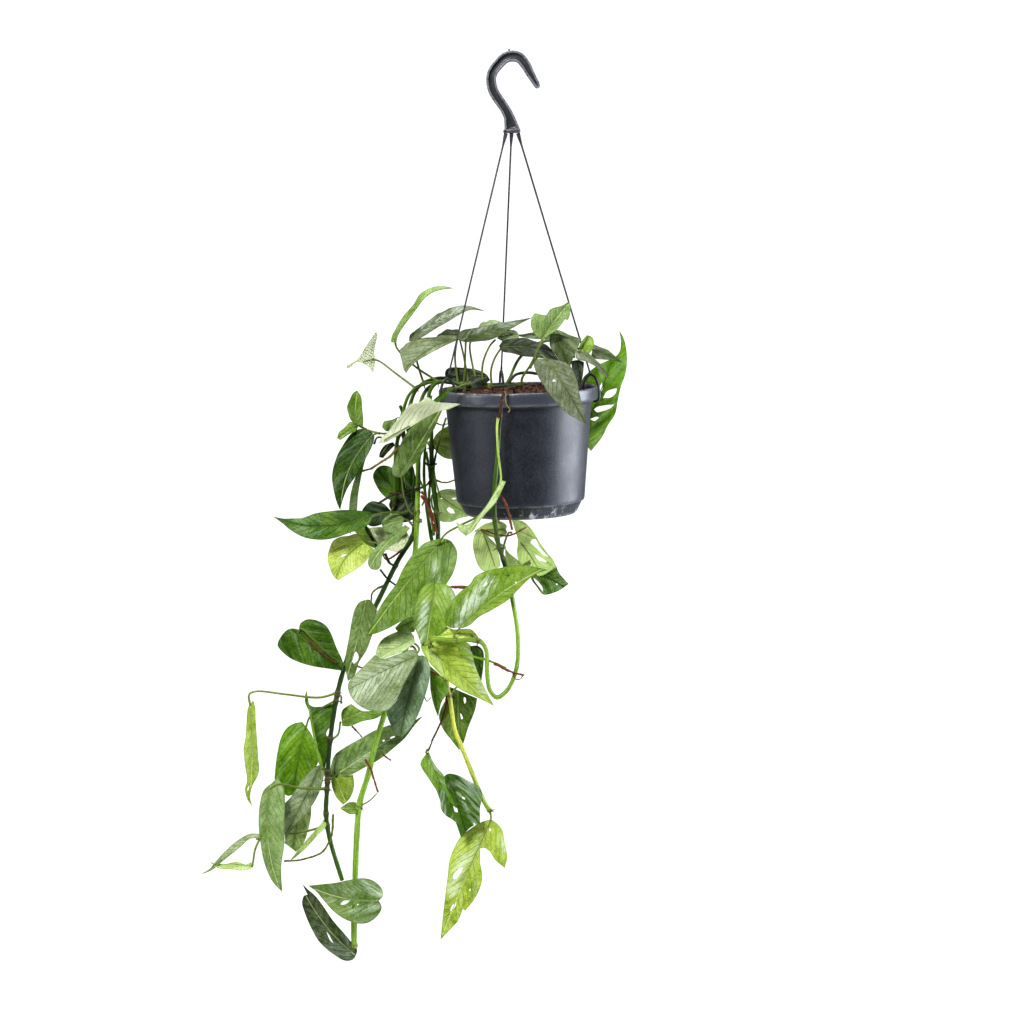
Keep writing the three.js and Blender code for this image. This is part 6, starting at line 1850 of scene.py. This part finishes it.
def make_soil():
    """The heaped mix and the loose bits on it"""
    random = np.random.default_rng(11)
    waves = [(*random.normal(size=2) * 0.25, random.uniform(0, 6), 0.35) for _ in range(12)]
    waves += [(*random.normal(size=2) * 0.8, random.uniform(0, 6), 0.14) for _ in range(14)]
    piece = Piece("growing_mix")
    inner = RIM_RADIUS - WALL - 1.2
    add_heap(piece, inner, waves)
    for _ in range(CHIPS):
        x, y = spot_in_mix(inner - 2, random)
        size = random.uniform(0.8, 2.6)
        centre = np.array([x, y, heap_height(x, y, waves) + 0.25 * size])
        tone = linear(CHIP_TONES[random.integers(len(CHIP_TONES))]) * random.uniform(0.7, 1.15)
        add_chip(piece, centre, size, random.uniform(0.35, 0.8), tone, random)
    for _ in range(FIBRES):
        x, y = spot_in_mix(inner - 8, random)
        add_fibre(piece, np.array([x, y, heap_height(x, y, waves) + 0.9]), random)
    piece.finish(SOIL, "growing_mix", ["soil"])


# The hanger

# The hook's middle line in its own plane, from its foot round the crown to its point, and its half width
HOOK_LINE = [
    (-1.8, HOOK_BASE, 8), (-3.2, -60, 6.4), (-4.8, -53.5, 5.2), (-8.4, -46, 4.8), (-19.3, -28.6, 5),
    (-21.4, -18, 5), (-19.7, -10, 4.9), (-13.5, -2, 5), (-7, 3.6, 5.1), (0, 5.2, 5.2), (6.9, 3.4, 5),
    (13.5, -4.6, 4.7), (16.5, -10.6, 4.2), (21, -18.6, 3.4), (23.4, -23, 3.1), (24.6, -25.3, 2.4),
    (25, -26.2, 1),
]


def hook_section(half, web):
    """Half of the I section's outline at one place: (across, depth) with small rounded corners"""
    deep = HOOK_DEPTH / 2
    flange = HOOK_FLANGE
    soft = 0.35
    quarter = [
        (-half, 0), (-half, deep - soft), (-half + soft, deep), (-half + flange - soft, deep),
        (-half + flange, deep - soft), (-half + flange + 0.3, web + 0.3), (-half + flange + 0.8, web),
    ]
    top = quarter + [(-across, depth) for across, depth in reversed(quarter)]
    bottom = [(across, -depth) for across, depth in reversed(top[1:-1])]
    return top + bottom


def make_hook():
    """The hook, swept along its line and grooved, the bar at its foot and a nib on its crown"""
    piece = Piece("hook")
    corners = np.array([(x, 0, z) for x, z, _ in HOOK_LINE])
    line = smooth_line(corners, HOOK_STEP)
    knots = lengths_along(corners)
    along = lengths_along(line)
    halves = np.interp(along / along[-1], knots / knots[-1], [half for _, _, half in HOOK_LINE])
    grooves = ramp(along, 1.5, 3.0) * (1 - ramp(along, along[-1] - 3.0, along[-1] - 1.5))
    full = HOOK_DEPTH / 2 - 0.4
    seat = np.array([SEAT_ACROSS, 0, SEAT_ABOVE_RIM])
    points = []
    edge = []
    for place, tangent, half, groove in zip(line, tangents_of(line), halves, grooves):
        across = np.array([-tangent[2], 0, tangent[0]])
        for off, depth in hook_section(half, full + (HOOK_WEB / 2 - full) * groove):
            points.append(place + across * off + np.array([0, depth, 0]) + seat)
            # The flange faces take painted highlights in the material
            edge.append(1.0 if abs(abs(depth) - HOOK_DEPTH / 2) < 0.5 else 0.0)
    piece.add(points, tube_faces(len(line), len(points) // len(line)), edge=edge)
    middle = seat + np.array([-SEAT_ACROSS, 0, HOOK_BASE - BAR_HEIGHT / 2 + BAR_OVERLAP])
    add_rounded_bar(piece, middle, (BAR_WIDTH, HOOK_DEPTH, BAR_HEIGHT))
    nib = seat + np.array([(-3, 0, height) for height in (9.6, 10.8, 12.0, 12.4)])
    add_plain_bar(piece, nib, [0.9, 0.85, 0.75, 0.4], 10)
    soften(piece.finish(HANGER, "hanger_plastic", ["hanger_hook"]), 0.25)


def add_rounded_bar(piece, centre, size):
    """A bar with rounded corners, from eight-sided rings"""
    width, depth, height = size
    soft = 0.8
    section = []
    for x, y in ((1, 1), (-1, 1), (-1, -1), (1, -1)):
        pair = [(x * width / 2, y * (depth / 2 - soft)), (x * (width / 2 - soft), y * depth / 2)]
        section += pair if x * y > 0 else pair[::-1]
    levels = [(-height / 2, 0.9), (-height / 2 + soft, 1.0), (height / 2 - soft, 1.0), (height / 2, 0.92)]
    points = [centre + np.array([x * share, y * share, z]) for z, share in levels for x, y in section]
    # Painted highlights strongest on the bar's rounded edges
    edges = [0.8 if share < 1 else 0.2 for _, share in levels for _ in section]
    piece.add(points, tube_faces(len(levels), len(section)), edge=edges)


def soften(made, width):
    """Rounds a piece's hard edges"""
    bevel = made.modifiers.new("soft edges", "BEVEL")
    bevel.width = width * MM
    bevel.segments = 2
    bevel.limit_method = "ANGLE"
    bevel.angle_limit = math.radians(50)
    bevel.harden_normals = True


def around(degrees, radius, height):
    """A place round the pot's axis"""
    angle = math.radians(degrees)
    return np.array([radius * math.cos(angle), radius * math.sin(angle), height])


def make_clip(side, degrees):
    """A clip: a moulded rod that straddles the rim, hooked in below the band, and peaks at its crest"""
    under = BAND - CLIP_GAP - ROD_RADIUS
    places = [
        (CLIP_INNER, -2.6), (CLIP_INNER + 1.6, 5), (CLIP_CREST - 3, CLIP_TOP - 2.2), (CLIP_CREST, CLIP_TOP),
        (CLIP_CREST + 4, CLIP_TOP - 2.4), (CLIP_OUTER - 1.2, 4.6), (CLIP_OUTER + 0.3, -2),
        (CLIP_OUTER + 0.3, under + 2.6), (CLIP_OUTER - 1.4, under), (BODY_TOP_RADIUS + 2.6, under),
    ]
    piece = Piece(f"clip_{side}")
    line = smooth_line([around(degrees, radius, height) for radius, height in places], 0.8)
    along = lengths_along(line)
    ends = np.minimum(along, along[-1] - along)
    radii = ROD_RADIUS * (0.45 + 0.55 * ramp(ends, 0, 1.2))
    add_plain_bar(piece, line, radii, ROD_SIDES)
    piece.finish(HANGER, "hanger_plastic", [f"hanger_clip_{side}"])


def make_strand(side, degrees):
    """A strand: a drawn rod from the hook's bar to the crest of its clip, flared at its top"""
    foot = SEAT_ABOVE_RIM + HOOK_BASE - BAR_HEIGHT + BAR_OVERLAP
    top = np.array([STRAND_PLACES[side], 0, foot - 0.4])
    low = around(degrees, CLIP_CREST - 0.6, CLIP_TOP + ROD_RADIUS + 0.15)
    share = np.concatenate([np.linspace(0, 0.08, 14), np.linspace(0.1, 1, 60)])
    line = top + share[:, None] * (low - top)
    radii = STRAND_RADIUS * (1 - 0.1 * share) * (1 + 1.1 * (1 - ramp(share, 0.0, 0.06)))
    radii = radii * (1 + 0.35 * ramp(share, 0.985, 0.995))
    piece = Piece(f"strand_{side}")
    add_plain_bar(piece, line, radii, STRAND_SIDES)
    piece.finish(HANGER, "hanger_plastic", [f"hanger_strand_{side}"])


# The studio

def floor_material():
    """Pale studio floor that fades into the white surround with distance"""
    t = new_tree("studio_floor")
    places = t.places()
    distance = t.node("ShaderNodeVectorMath", {0: places}, operation="LENGTH").outputs["Value"]
    white = t.node("ShaderNodeEmission", {"Color": WHITE, "Strength": 1.0})
    t.blend_shader(t.step(distance, 0.75, 1.15), white)
    return t.finish(STUDIO_PALE, 0.9)


def make_floor():
    """A wide round floor well below the lowest leaf"""
    count = FLOOR_SEGMENTS
    points = np.vstack([[(0, 0, 0)], *(ring_of(radius, 0, count) for radius in FLOOR_RADII)])
    faces = [(0, 1 + i, 1 + (i + 1) % count) for i in range(count)]
    faces += [(1 + a, 1 + d, 1 + c, 1 + b) for a, b, c, d in wall_faces(len(FLOOR_RADII), count)]
    mesh = bpy.data.meshes.new("studio_floor")
    mesh.from_pydata(points.tolist(), [], faces)
    mesh.materials.append(floor_material())
    floor = bpy.data.objects.new("studio_floor", mesh)
    floor.location = (0, 0, FLOOR_HEIGHT)
    bpy.context.scene.collection.objects.link(floor)


def make_camera():
    """The photograph's view"""
    camera = bpy.data.cameras.new("camera")
    camera.lens = LENS
    camera.sensor_width = 36
    camera.clip_end = 60
    made = bpy.data.objects.new("camera", camera)
    place = RIM + EYE * MM
    axes = np.stack([SEEN_RIGHT, SEEN_UP, -LOOK], axis=1)
    made.matrix_world = Matrix.Translation(place.tolist()) @ Matrix(axes.tolist()).to_4x4()
    bpy.context.scene.collection.objects.link(made)
    bpy.context.scene.camera = made


def make_light(name, place, size, power, target=(0, 0, -0.45), tint=WHITE):
    """An oblong lamp that faces its target. Its place is in metres and its power in watts."""
    light = bpy.data.lights.new(name, "AREA")
    light.color = tint
    light.shape = "RECTANGLE"
    light.size, light.size_y = size
    light.energy = power
    made = bpy.data.objects.new(name, light)
    made.location = place
    toward = Vector(target) - Vector(place)
    made.rotation_euler = toward.to_track_quat("-Z", "Y").to_euler()
    bpy.context.scene.collection.objects.link(made)


def make_surround():
    """A white surround, which lights the shadows only softly, and the front least"""
    world = bpy.data.worlds.new("studio")
    t = Tree(world, "Background")
    sky = t.node("ShaderNodeTexCoord").outputs["Generated"]
    away = t.node("ShaderNodeSeparateXYZ", {0: sky}).outputs["Y"]
    fill = t.step(away, -0.9, 0.3, FILL * FRONT_FILL, FILL, "LINEAR")
    in_view = t.node("ShaderNodeLightPath").outputs["Is Camera Ray"]
    t.set(t.shader.inputs["Color"], WHITE)
    t.set(t.shader.inputs["Strength"], t.step(in_view, 0.0, 1.0, fill, 1.0, "LINEAR"))
    bpy.context.scene.world = world


def make_lights():
    """The key from the left, a broad cool lamp from the right, and two that fill"""
    make_light("key", (-1.0, -2.2, 1.7), (0.8, 0.8), 112)
    make_light("side", (2.0, 0.05, -0.5), (1.6, 1.3), 78, (0, 0, -0.4), (0.86, 0.91, 1.0))
    make_light("left", (-2.0, -1.0, -0.2), (0.5, 0.8), 13, (0, 0, -0.4))
    make_light("top", (0.1, 0.3, 1.9), (1.0, 1.0), 40)


LEAF = leaf_material()
STEM = stem_material()
ROOT = root_material()
POT = pot_material()
HANGER = hanger_material()
SOIL = soil_material()

for vine in VINES:
    make_vine(vine)
make_pot()
make_soil()
make_hook()
for side, degrees in CLIP_ANGLES.items():
    make_clip(side, degrees)
    make_strand(side, degrees)

make_floor()
make_surround()
make_lights()
make_camera()
bpy.context.scene.view_settings.view_transform = "Standard"
bpy.context.scene.view_settings.look = "Medium High Contrast"
